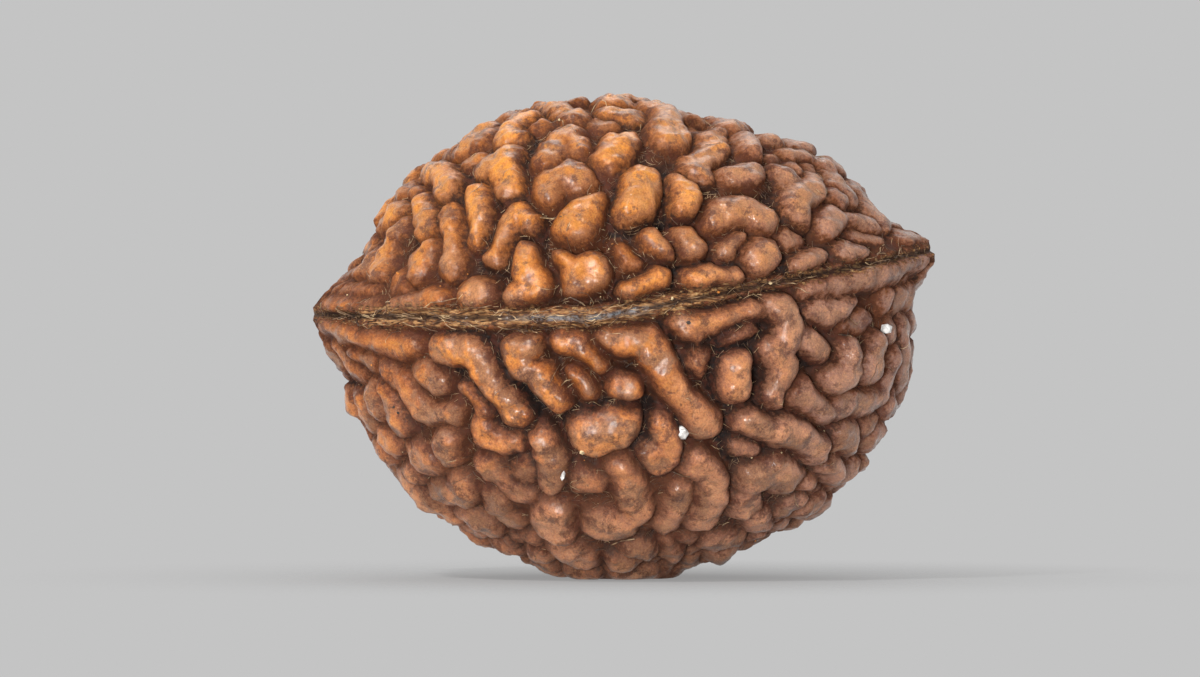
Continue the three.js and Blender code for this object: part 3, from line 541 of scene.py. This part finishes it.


# Rudraksha wood, dried, brushed clean and oiled by handling. The crests are polished to a soft shine
# with a fine grain that breaks it up, and the furrows stay matt and dusty. The furrows and the knobs'
# flanks are painted nearly black, partly their own grime and partly painted shade. Pattern
# scales are repeats per millimetre.
# The tan and russet ramps run from the furrows' colour to the crests': their near-black low end is partly
# grime and partly painted shade.
TAN_STOPS = [(0.0, "#140C08"), (0.2, "#361C0E"), (0.5, "#7A4419"), (0.75, "#A4601A"), (1.0, "#BE7820")]
RUSSET_STOPS = [(0.0, "#120B09"), (0.2, "#28150F"), (0.5, "#68381E"), (0.75, "#9C5820"), (1.0, "#B87028")]
STRAW_STOPS = [(0.3, "#1C120C"), (0.42, "#3C281B"), (0.5, "#6E4A2C"), (0.6, "#96704A"), (0.75, "#C09C6C")]
stone = bpy.data.materials.new("oiled_rudraksha_stone")
stone.use_nodes = True
tree = stone.node_tree
tree.nodes.clear()
place = add(tree, "TexCoord").outputs["Object"]
mm = add(tree, "VectorMath", {0: place, 1: (1000, 1000, 1000)}, operation="MULTIPLY")
axes = add(tree, "SeparateXYZ", {0: mm})
level = add(tree, "Attribute", attribute_name="level").outputs["Fac"]
from_seam = add(tree, "Attribute", attribute_name="seam").outputs["Fac"]
past_band = add(tree, "Attribute", attribute_name="past_band").outputs["Fac"]
tone = add(tree, "Attribute", attribute_name="tone").outputs["Fac"]
# The grain repeats every 0.2 mm, and the fine nap on it every 0.06 mm. Real nap is finer still, and
# is drawn coarser to show.
grain = add(tree, "TexNoise", {"Vector": mm, "Scale": 5, "Detail": 5, "Roughness": 0.65})
nap = add(tree, "TexNoise", {"Vector": mm, "Scale": 16, "Detail": 2, "Roughness": 0.7})
uneven = add(tree, "MapRange", {0: grain, 1: 0.3, 2: 0.7, 3: -0.22, 4: 0.22})
depth = add(tree, "Math", {0: level, 1: uneven}, operation="ADD")
# The upper lobe is tan, the lower one russet, and they blend across the seam in blotches 2 mm wide.
blotch = add(tree, "TexNoise", {"Vector": mm, "Scale": 0.5, "Detail": 4})
shifted = add(tree, "Math", {0: blotch, 1: 6, 2: axes.outputs[2]}, operation="MULTIPLY_ADD")
upper = add(tree, "MapRange", {0: shifted, 1: 10, 2: 15.5})
tan = add(tree, "ValToRGB", {0: depth}, TAN_STOPS)
russet = add(tree, "ValToRGB", {0: depth}, RUSSET_STOPS)
colour = add(tree, "Mix", {0: upper, 6: russet, 7: tan}, data_type="RGBA").outputs[2]
duller = add(tree, "Math", {0: tone, 1: 0.35}, operation="MULTIPLY")
colour = add(tree, "Mix", {0: duller, 6: colour, 7: from_hex("#6E3A1C")}, data_type="RGBA").outputs[2]
# The crests towards the high end and its side are greyer, and the raised parts of the underside paler.
sideways = add(tree, "Math", {0: blotch, 1: 6, 2: axes}, operation="MULTIPLY_ADD")
raised = add(tree, "MapRange", {0: depth, 1: 0.25, 2: 0.6})
greyed = add(tree, "MapRange", {0: sideways, 1: 3.5, 2: 11, 4: 0.75})
greyed = add(tree, "Math", {0: greyed, 1: raised}, operation="MULTIPLY")
colour = add(tree, "Mix", {0: greyed, 6: colour, 7: from_hex("#7C6056")}, data_type="RGBA").outputs[2]
paler_below = add(tree, "MapRange", {0: shifted, 1: 10, 2: 4, 4: 0.6})
paler_below = add(tree, "Math", {0: paler_below, 1: level}, operation="MULTIPLY")
colour = add(tree, "Mix", {0: paler_below, 6: colour, 7: from_hex("#A47A66")}, data_type="RGBA").outputs[2]
# Weathered patches a millimetre or two wide have lost their amber, more of them on the lower lobe.
weather = add(tree, "TexNoise", {"Vector": mm, "Scale": 0.7, "Detail": 4, "Roughness": 0.6})
weathered = add(tree, "MapRange", {0: weather, 1: 0.49, 2: 0.55})
lower = add(tree, "MapRange", {0: upper, 3: 0.8, 4: 0.4})
weathered = add(tree, "Math", {0: weathered, 1: lower}, operation="MULTIPLY")
weathered = add(tree, "Math", {0: weathered, 1: raised}, operation="MULTIPLY")
colour = add(tree, "Mix", {0: weathered, 6: colour, 7: from_hex("#704C36")}, data_type="RGBA").outputs[2]
# Dark stains half a millimetre wide, with ragged edges.
stains = add(tree, "TexNoise", {"Vector": mm, "Scale": 1.5, "Detail": 7, "Roughness": 0.7})
stained = add(tree, "MapRange", {0: stains, 1: 0.52, 2: 0.58, 4: 0.7})
colour = add(tree, "Mix", {0: stained, 6: colour, 7: from_hex("#452216")}, data_type="RGBA").outputs[2]
# Rubbed, matt, paler patches on the crests, a millimetre wide.
rubs = add(tree, "TexNoise", {"Vector": mm, "Scale": 1.1, "Detail": 7, "Roughness": 0.75})
rubbed = add(tree, "MapRange", {0: rubs, 1: 0.51, 2: 0.6})
on_crest = add(tree, "MapRange", {0: level, 1: 0.6, 2: 1.0, 4: 0.4})
on_crest = add(tree, "Math", {0: on_crest, 1: lower}, operation="MULTIPLY")
scuffed = add(tree, "Math", {0: rubbed, 1: on_crest}, operation="MULTIPLY")
colour = add(tree, "Mix", {0: scuffed, 6: colour, 7: from_hex("#D09468")}, data_type="RGBA").outputs[2]
# Pores a tenth of a millimetre wide, and the nap's own dark, and its pale specks on the crests,
# which are partly the nap's own fibres and partly painted glints. Real pores are half as wide, and are
# drawn coarser to show.
pores = add(tree, "TexNoise", {"Vector": mm, "Scale": 7, "Detail": 3, "Roughness": 0.6})
pored = add(tree, "MapRange", {0: pores, 1: 0.67, 2: 0.75, 4: 0.65})
colour = add(tree, "Mix", {0: pored, 6: colour, 7: from_hex("#241210")}, data_type="RGBA").outputs[2]
nap_dark = add(tree, "MapRange", {0: nap, 1: 0.5, 2: 0.36, 4: 0.32})
colour = add(tree, "Mix", {0: nap_dark, 6: colour, 7: from_hex("#3A1C12")}, data_type="RGBA").outputs[2]
# Pale specks on the crests alone: partly pale nap and partly painted glints.
nap_pale_and_glint = add(tree, "MapRange", {0: nap, 1: 0.54, 2: 0.68, 4: 0.22})
nap_pale_and_glint = add(tree, "Math", {0: nap_pale_and_glint, 1: level}, operation="MULTIPLY")
colour = add(tree, "Mix", {0: nap_pale_and_glint, 6: colour, 7: from_hex("#D89C60")}, data_type="RGBA").outputs[2]
# Grey dust in the bottoms of furrows, in patches 0.3 mm wide.
dust = add(tree, "TexNoise", {"Vector": mm, "Scale": 3.5, "Detail": 6, "Roughness": 0.7})
dusty = add(tree, "MapRange", {0: dust, 1: 0.52, 2: 0.62, 4: 0.35})
low = add(tree, "MapRange", {0: depth, 1: 0.08, 2: -0.12})
dusted = add(tree, "Math", {0: dusty, 1: low}, operation="MULTIPLY")
colour = add(tree, "Mix", {0: dusted, 6: colour, 7: from_hex("#3E3A38")}, data_type="RGBA").outputs[2]
# Torn strands cover the seam's band, 0.08 mm across it and 0.35 mm along it. Real ones are half as
# wide, and are drawn coarser to show.
along_seam = add(tree, "VectorMath", {0: mm, 1: (1.8, 1.8, 8)}, operation="MULTIPLY")
strands = add(tree, "TexNoise", {"Vector": along_seam, "Scale": 1.6, "Detail": 6, "Distortion": 1.0})
straw = add(tree, "ValToRGB", {0: strands}, STRAW_STOPS)
ragged = add(tree, "Math", {0: uneven, 1: 1.4, 2: past_band}, operation="MULTIPLY_ADD")
banded = add(tree, "MapRange", {0: ragged, 1: 0.08, 2: -0.05, 4: 0.92})
colour = add(tree, "Mix", {0: banded, 6: colour, 7: straw}, data_type="RGBA").outputs[2]
# The groove down its middle is dark, and for a few millimetres it is filled with grey dust in
# patches 0.25 mm wide.
groove_share = add(tree, "MapRange", {0: from_seam, 1: 0.13, 2: 0.05, 4: 0.8})
patchy = add(tree, "TexNoise", {"Vector": mm, "Scale": 4, "Detail": 5, "Roughness": 0.7})
patchy = add(tree, "MapRange", {0: patchy, 1: 0.42, 2: 0.6})
past_start = add(tree, "MapRange", {0: sideways, 1: -0.8, 2: 0.2})
before_end = add(tree, "MapRange", {0: sideways, 1: 4.2, 2: 3.2})
in_dust = add(tree, "Math", {0: past_start, 1: before_end}, operation="MULTIPLY")
in_dust = add(tree, "Math", {0: in_dust, 1: patchy}, operation="MULTIPLY")
fill = add(tree, "Mix", {0: in_dust, 6: from_hex("#20140F"), 7: from_hex("#76787C")}, data_type="RGBA")
filled = fill.outputs[2]
colour = add(tree, "Mix", {0: groove_share, 6: colour, 7: filled}, data_type="RGBA").outputs[2]
# The wood is less rough on the crests, and roughest where it is rubbed or fibrous.
rough = add(tree, "MapRange", {0: depth, 1: 0.3, 2: 0.9, 3: 0.75, 4: 0.45})
rough = add(tree, "Math", {0: rubbed, 1: 0.2, 2: rough}, operation="MULTIPLY_ADD")
rough = add(tree, "Math", {0: banded, 1: 0.4, 2: rough}, operation="MULTIPLY_ADD", use_clamp=True)
relief_height = add(tree, "Math", {0: nap, 1: 0.2, 2: grain}, operation="MULTIPLY_ADD")
relief_height = add(tree, "Math", {0: pored, 1: -0.3, 2: relief_height}, operation="MULTIPLY_ADD")
strand_height = add(tree, "Math", {0: strands, 1: banded}, operation="MULTIPLY")
relief_height = add(tree, "Math", {0: strand_height, 1: 1.5, 2: relief_height}, operation="MULTIPLY_ADD")
bump = add(tree, "Bump", {"Height": relief_height, "Distance": 0.055 * MM})
# Wrinkles 0.3 mm apart, which break up the shine.
wrinkles = add(tree, "TexNoise", {"Vector": mm, "Scale": 3.2, "Detail": 6, "Roughness": 0.6})
wrinkled = add(tree, "Math", {0: relief_height, 1: 0.3, 2: wrinkles}, operation="MULTIPLY_ADD")
soft_bump = add(tree, "Bump", {"Height": wrinkled, "Distance": 0.045 * MM})
# The oil of handling lies on the crests alone, as a thin glossy coat.
oiled = add(tree, "MapRange", {0: depth, 1: 0.4, 2: 0.85, 4: 0.7})
stone_shader = add(tree, "BsdfPrincipled", {
    "Base Color": colour, "Roughness": rough, "Specular IOR Level": 0.18, "Normal": bump,
    "Coat Weight": oiled, "Coat Roughness": 0.09, "Coat Normal": soft_bump,
    "Subsurface Weight": 0.2, "Subsurface Radius": (1, 0.4, 0.2), "Subsurface Scale": 0.25 * MM,
})
add(tree, "OutputMaterial", {"Surface": stone_shader})
stone_mesh.materials.append(stone)
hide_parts("bead")
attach(bead, "root")

# The seam's fibres
# Strands of the fruit's vascular bundles, left along the seam where the two lobes meet: dry, straw
# coloured and glinting, densest on the broad middle and at the low end. They grew on the stone.
SEAM_FIBRES = 190
SEAM_FIBRE_STEPS = 6
SEAM_FIBRES_END = 0.97
FIBRE_UNIT = 0.01
FIBRE_STOPS = [(0.35, "#2E2018"), (0.47, "#5E4430"), (0.55, "#82664A"), (0.68, "#BCA078")]
shuffled = np.random.default_rng(5)


def skin(foot, normal):
    """The place on the finished surface over a place on the body, with the surface's normal."""
    origin = Vector((foot + normal * 3) * MM)
    place, facing, face, distance = surface_tree.ray_cast(origin, -Vector(normal))
    return place, facing


def fibre_curve(name):
    """An empty curve that gives each line laid in it a square section of its own thickness."""
    curve = bpy.data.curves.new(name, "CURVE")
    curve.dimensions = "3D"
    curve.bevel_depth = FIBRE_UNIT * MM
    curve.bevel_resolution = 0
    curve.use_fill_caps = True
    return curve


def lay_fibre(curve, places, half_thick):
    """Lays one fibre through places in metres, of a half thickness in millimetres."""
    line = curve.splines.new("POLY")
    line.points.add(len(places) - 1)
    for point, place in zip(line.points, places):
        point.co = (*place, 1)
        point.radius = half_thick / FIBRE_UNIT


def fibres_from(curve, material):
    """The curve's fibres as one mesh object that rides on the stone."""
    fibre_mesh = bpy.data.meshes.new_from_object(bpy.data.objects.new(curve.name, curve))
    fibre_mesh.materials.clear()
    fibre_mesh.materials.append(material)
    fibres = bpy.data.objects.new(curve.name + "_strands", fibre_mesh)
    bpy.context.collection.objects.link(fibres)
    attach(fibres, "root")


def seam_place(share, side, across):
    """A foot on the body along the seam, from the low tip at 0 to the high tip at 1, with its normal."""
    turn, latitude = (TIPS[0][0], share * math.pi) if share < 0.5 else (TIPS[1][0], (1 - share) * math.pi)
    point, normal = body_surface(math.radians(turn), side * latitude)
    return on_body(point + np.array([0, 0, across]))


# They lie on both faces by turns. Four in five start on the low half, where the band is broad. Starts
# and lengths are shares of the seam, and the other draws are millimetres across it and out from it.
seam_curve = fibre_curve("seam")
for number in range(SEAM_FIBRES):
    side = 1 if number % 2 == 0 else -1
    start = shuffled.uniform(0.10, 0.56) if number % 5 else shuffled.uniform(0.55, 0.93)
    length = shuffled.uniform(0.008, 0.05)
    across = shuffled.normal(0, 0.18)
    drift = shuffled.normal(0, 0.24)
    lift = shuffled.uniform(0.0, 0.09)
    places = []
    for step in range(SEAM_FIBRE_STEPS + 1):
        share = step / SEAM_FIBRE_STEPS
        wave = 0.03 * math.sin(9 * share + number)
        reached = min(start + length * share, SEAM_FIBRES_END)
        foot, normal = seam_place(reached, side, across + drift * share + wave)
        place, facing = skin(foot, normal)
        places.append(place + facing * lift * MM)
    lay_fibre(seam_curve, places, shuffled.uniform(0.007, 0.017))
# Dry plant fibre, torn and unfinished: straw with a faint glint, browner in stretches of 0.4 mm.
fibre = bpy.data.materials.new("dry_plant_fibre")
fibre.use_nodes = True
tree = fibre.node_tree
tree.nodes.clear()
place = add(tree, "TexCoord").outputs["Object"]
mm = add(tree, "VectorMath", {0: place, 1: (1000, 1000, 1000)}, operation="MULTIPLY")
strand_noise = add(tree, "TexNoise", {"Vector": mm, "Scale": 2.5, "Detail": 3})
strand = add(tree, "ValToRGB", {0: strand_noise}, FIBRE_STOPS)
fibre_shader = add(tree, "BsdfPrincipled", {"Base Color": strand, "Roughness": 0.5})
add(tree, "OutputMaterial", {"Surface": fibre_shader})
fibres_from(seam_curve, fibre)

# Loose hairs
# Fine hairs of the rotted flesh, caught between the knobs: the larger ones where they lie on the
# face at -Y, more of their kind all round, and a fuzz of short ones across the furrows.
FRONT_HAIRS = [
    (-0.5, 1.2, -0.1, 1.38, 0.35, 1.45),
    (7.2, 8.35, 7.6, 8.3, 7.9, 8.05),
    (1.65, 3.75, 1.95, 3.62, 2.2, 3.6),
    (-2.8, 12.3, -2.4, 12.25, -2.1, 12.35),
    (-2.1, 9.5, -1.8, 9.65, -1.4, 9.45, -1.2, 9.2),
    (-2.1, 6.7, -1.95, 6.85, -1.75, 6.9),
    (0.0, 7.5, 0.2, 7.38, 0.45, 7.4),
    (0.05, 7.3, 0.25, 7.45, 0.4, 7.32),
]
FRONT_HAIR_HALF_THICK = 0.022
LOOSE_HAIRS = 170
LOOSE_HAIR_STEPS = 4
LOOSE_HAIR_HALF_THICK = 0.009
FUZZ_HAIRS = 2600
hair_curve = fibre_curve("hair")
for line in FRONT_HAIRS:
    places = []
    for x, z in zip(line[0::2], line[1::2]):
        place, facing, face, distance = surface_tree.ray_cast(Vector((x, -20, z)) * MM, Vector((0, 1, 0)))
        places.append(place - Vector((0, 0.08, 0)) * MM)
    lay_fibre(hair_curve, places, FRONT_HAIR_HALF_THICK)
for number in range(LOOSE_HAIRS):
    turn = shuffled.uniform(0, 2 * math.pi)
    latitude = math.asin(shuffled.uniform(-1, 1))
    heading = shuffled.uniform(0, 2 * math.pi)
    point, normal = body_surface(turn, latitude)
    east = np.cross((0, 0, 1), normal)
    east /= np.linalg.norm(east)
    north = np.cross(normal, east)
    length = shuffled.uniform(0.25, 0.8)
    places = []
    for step in range(LOOSE_HAIR_STEPS + 1):
        bend = heading + 0.5 * step * math.sin(number)
        onward = (math.cos(bend) * east + math.sin(bend) * north) * length * step / LOOSE_HAIR_STEPS
        foot, foot_normal = on_body(point + onward)
        place, facing = skin(foot, foot_normal)
        places.append(place + facing * 0.03 * MM)
    if min(place.z for place in places) > 0.15 * MM:
        lay_fibre(hair_curve, places, LOOSE_HAIR_HALF_THICK)
# The fuzz lies where the surface is low, near a knob's foot and off the floor.
furrow_verts = np.nonzero((inside < 0.12) & (height < 0.25) & (surface[:, 2] > 0.5))[0]
for index in shuffled.choice(furrow_verts, FUZZ_HAIRS, replace=False):
    reach = shuffled.normal(0, 1, 3)
    reach -= normals[index] * (reach @ normals[index])
    reach *= shuffled.uniform(0.08, 0.2) / np.linalg.norm(reach)
    sag = normals[index] * shuffled.uniform(0.0, 0.06)
    middle = surface[index] + normals[index] * shuffled.uniform(0.0, 0.1)
    places = [Vector(middle + reach * share + sag * share * share) * MM for share in (-1, -0.3, 0.4, 1)]
    lay_fibre(hair_curve, places, shuffled.uniform(0.003, 0.007))
fibres_from(hair_curve, fibre)

# Grit
# Grains of quartz sand from the ground where the fruit lay, wedged between knobs: angular, milky and
# clear in places. Each is its place, its size in millimetres and its turn.
GRAINS = [
    ((1.95, 5.1), (0.27, 0.3, 0.33), 0.5),
    ((8.85, 8.5), (0.2, 0.14, 0.22), 1.2),
    ((-2.05, 3.65), (0.08, 0.08, 0.2), 0.2),
]
chipped = np.random.default_rng(11)
grit_form = bmesh.new()
for (x, z), size, turn in GRAINS:
    place, facing, face, distance = surface_tree.ray_cast(Vector((x, -20, z)) * MM, Vector((0, 1, 0)))
    place.y -= size[1] * MM
    matrix = Matrix.Translation(place) @ Matrix.Rotation(turn, 4, "Y") @ Matrix.Diagonal((*size, 1))
    made = bmesh.ops.create_icosphere(grit_form, subdivisions=1, radius=MM, matrix=matrix)
    for vert in made["verts"]:
        vert.co = place + (vert.co - place) * chipped.uniform(0.8, 1.1)
grit_mesh = bpy.data.meshes.new("grit_grains")
grit_form.to_mesh(grit_mesh)
grit_form.free()
grit = bpy.data.objects.new("grit_grains", grit_mesh)
bpy.context.collection.objects.link(grit)
# Milky quartz, chipped: white and glossy, and a little see-through, with clouds 0.17 mm wide.
quartz = bpy.data.materials.new("milky_quartz")
quartz.use_nodes = True
tree = quartz.node_tree
tree.nodes.clear()
place = add(tree, "TexCoord").outputs["Object"]
mm = add(tree, "VectorMath", {0: place, 1: (1000, 1000, 1000)}, operation="MULTIPLY")
cloud = add(tree, "TexNoise", {"Vector": mm, "Scale": 6, "Detail": 3})
milk = add(tree, "ValToRGB", {0: cloud}, [(0.4, "#BEBAB6"), (0.6, "#F2F0EC")])
quartz_shader = add(tree, "BsdfPrincipled", {
    "Base Color": milk, "Roughness": 0.25, "IOR": 1.54, "Transmission Weight": 0.3,
})
add(tree, "OutputMaterial", {"Surface": quartz_shader})
grit_mesh.materials.append(quartz)
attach(grit, "root")

# Crumbs
# Crumbs of dried flesh and soil that lodged in the furrows and on the seam, pale straw, orange or
# nearly black. Each of the larger ones is its place, radius in millimetres and colour.
FRONT_CRUMBS = [
    (-1.4, 4.45, 0.11, "pale"), (-7.6, 10.4, 0.08, "orange"), (-8.5, 7.3, 0.05, "orange"),
    (3.15, 9.8, 0.06, "orange"), (2.15, 8.8, 0.09, "dark"), (-10.4, 8.75, 0.05, "dark"),
    (4.9, 10.1, 0.08, "pale"), (1.6, 9.6, 0.07, "pale"), (-7.75, 5.9, 0.06, "dark"),
    (-7.6, 5.7, 0.06, "dark"), (-0.2, 9.6, 0.05, "pale"),
]
CRUMB_COLOURS = {"pale": "#C0A880", "orange": "#B87028", "dark": "#1C1412"}
crumb_forms = {name: bmesh.new() for name in CRUMB_COLOURS}
for x, z, radius, kind in FRONT_CRUMBS:
    place, facing, face, distance = surface_tree.ray_cast(Vector((x, -20, z)) * MM, Vector((0, 1, 0)))
    matrix = Matrix.Translation(place) @ Matrix.Rotation(x * 9, 4, "Y") @ Matrix.Diagonal((1, 0.7, 0.8, 1))
    bmesh.ops.create_icosphere(crumb_forms[kind], subdivisions=1, radius=radius * MM, matrix=matrix)
SMALL_CRUMBS = 260
low_verts = np.nonzero((inside < 0.1) & (surface[:, 2] > 0.2))[0]
for number, index in enumerate(shuffled.choice(low_verts, SMALL_CRUMBS, replace=False)):
    radius = 0.012 + 0.04 * shuffled.uniform() ** 3
    kind = ("pale", "dark", "pale", "orange", "pale")[number % 5]
    matrix = Matrix.Translation(Vector(surface[index]) * MM) @ Matrix.Rotation(number, 4, "Z")
    bmesh.ops.create_icosphere(crumb_forms[kind], subdivisions=1, radius=radius * MM, matrix=matrix)
for kind, form in crumb_forms.items():
    crumb_mesh = bpy.data.meshes.new(kind + "_crumbs")
    form.to_mesh(crumb_mesh)
    form.free()
    crumbs = bpy.data.objects.new(kind + "_crumbs", crumb_mesh)
    bpy.context.collection.objects.link(crumbs)
    # Dried pulp, crumbled: matt, and mottled every 0.12 mm.
    crumb = bpy.data.materials.new(kind + "_plant_crumb")
    crumb.use_nodes = True
    tree = crumb.node_tree
    tree.nodes.clear()
    place = add(tree, "TexCoord").outputs["Object"]
    mottle = add(tree, "TexNoise", {"Vector": place, "Scale": 8000, "Detail": 2})
    stops = [(0.3, "#3A2A1C"), (0.6, CRUMB_COLOURS[kind])]
    tint = add(tree, "ValToRGB", {0: mottle}, stops)
    crumb_shader = add(tree, "BsdfPrincipled", {"Base Color": tint, "Roughness": 0.8})
    add(tree, "OutputMaterial", {"Surface": crumb_shader})
    crumb_mesh.materials.append(crumb)
    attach(crumbs, "root")

# The floor
# A plain grey table top of matt card, wide enough for the bead's shadow, which is all that shows of
# it: away from the bead it fades into the grey room.
FLOOR_GREY = "#C4C4C4"
FLOOR_RADIUS = 0.6
floor_form = bmesh.new()
bmesh.ops.create_circle(floor_form, cap_ends=True, segments=96, radius=FLOOR_RADIUS)
floor_mesh = bpy.data.meshes.new("floor")
floor_form.to_mesh(floor_mesh)
floor_form.free()
floor = bpy.data.objects.new("floor", floor_mesh)
bpy.context.collection.objects.link(floor)
# Matt card: no glint and no grain that shows. Half of its grey is a glow of its own, which keeps the
# bead's shadow on it as pale as under a broad studio light.
card = bpy.data.materials.new("grey_card")
card.use_nodes = True
tree = card.node_tree
tree.nodes.clear()
place = add(tree, "TexCoord").outputs["Object"]
from_middle = add(tree, "VectorMath", {0: place}, operation="LENGTH").outputs["Value"]
fading = add(tree, "MapRange", {0: from_middle, 1: 0.004, 2: 0.024}, interpolation_type="SMOOTHSTEP")
lit = add(tree, "BsdfDiffuse", {"Color": from_hex("#707070")})
glow = add(tree, "Emission", {"Color": from_hex(FLOOR_GREY), "Strength": 0.5})
both = add(tree, "AddShader", {0: lit, 1: glow})
clear = add(tree, "BsdfTransparent")
shown = add(tree, "MixShader", {0: fading, 1: both, 2: clear})
add(tree, "OutputMaterial", {"Surface": shown})
floor_mesh.materials.append(card)

# The light
# A small softbox above and to the left in front, which puts glints on the crests, a low one in front
# that fills the furrows, a weak wide one above and behind, and an even grey room.
world = bpy.data.worlds.new("grey_room")
bpy.context.scene.world = world
world.use_nodes = True
tree = world.node_tree
tree.nodes.clear()
camera_ray = add(tree, "LightPath").outputs["Is Camera Ray"]
seen_room = add(tree, "Background", {"Color": from_hex(FLOOR_GREY), "Strength": 1.0})
lit_room = add(tree, "Background", {"Color": from_hex("#FFFFFF"), "Strength": 0.8})
room = add(tree, "MixShader", {0: camera_ray, 1: lit_room, 2: seen_room})
add(tree, "OutputWorld", {"Surface": room})


def softbox(name, place, width, watts):
    """A square lamp, its place and width in metres, turned towards the bead."""
    lamp = bpy.data.lights.new(name, "AREA")
    lamp.size = width
    lamp.energy = watts
    lamp_object = bpy.data.objects.new(name, lamp)
    lamp_object.location = place
    towards_bead = Vector((0, 0, 0.008)) - Vector(place)
    lamp_object.rotation_euler = towards_bead.to_track_quat("-Z", "Y").to_euler()
    bpy.context.collection.objects.link(lamp_object)


softbox("key_softbox", (-0.11, -0.17, 0.20), 0.03, 0.52)
softbox("front_softbox", (-0.04, -0.30, 0.0), 0.06, 1.05)
softbox("top_softbox", (0.0, 0.16, 0.22), 0.14, 0.15)

# The camera
# A long lens nearly level with the bead, far enough away that its sides look flat on. The picture's
# 1200 pixels span 40.7 mm.
PICTURE_WIDTH = 1200
PIXELS_PER_MM = 29.5
CAMERA_DISTANCE = 0.600
CAMERA_RISE = math.radians(1.0)
aim = Vector((-0.81 * MM, 0, 8.12 * MM))
camera = bpy.data.cameras.new("camera")
camera.sensor_width = 36
camera.lens = camera.sensor_width * CAMERA_DISTANCE / (PICTURE_WIDTH / PIXELS_PER_MM * MM)
camera.clip_start = 0.01
camera.clip_end = 10
camera_object = bpy.data.objects.new("camera", camera)
away = Vector((0, -math.cos(CAMERA_RISE), math.sin(CAMERA_RISE)))
camera_object.location = aim + away * CAMERA_DISTANCE
camera_object.rotation_euler = (-away).to_track_quat("-Z", "Y").to_euler()
bpy.context.collection.objects.link(camera_object)
bpy.context.scene.camera = camera_object
bpy.context.scene.view_settings.view_transform = "Standard"
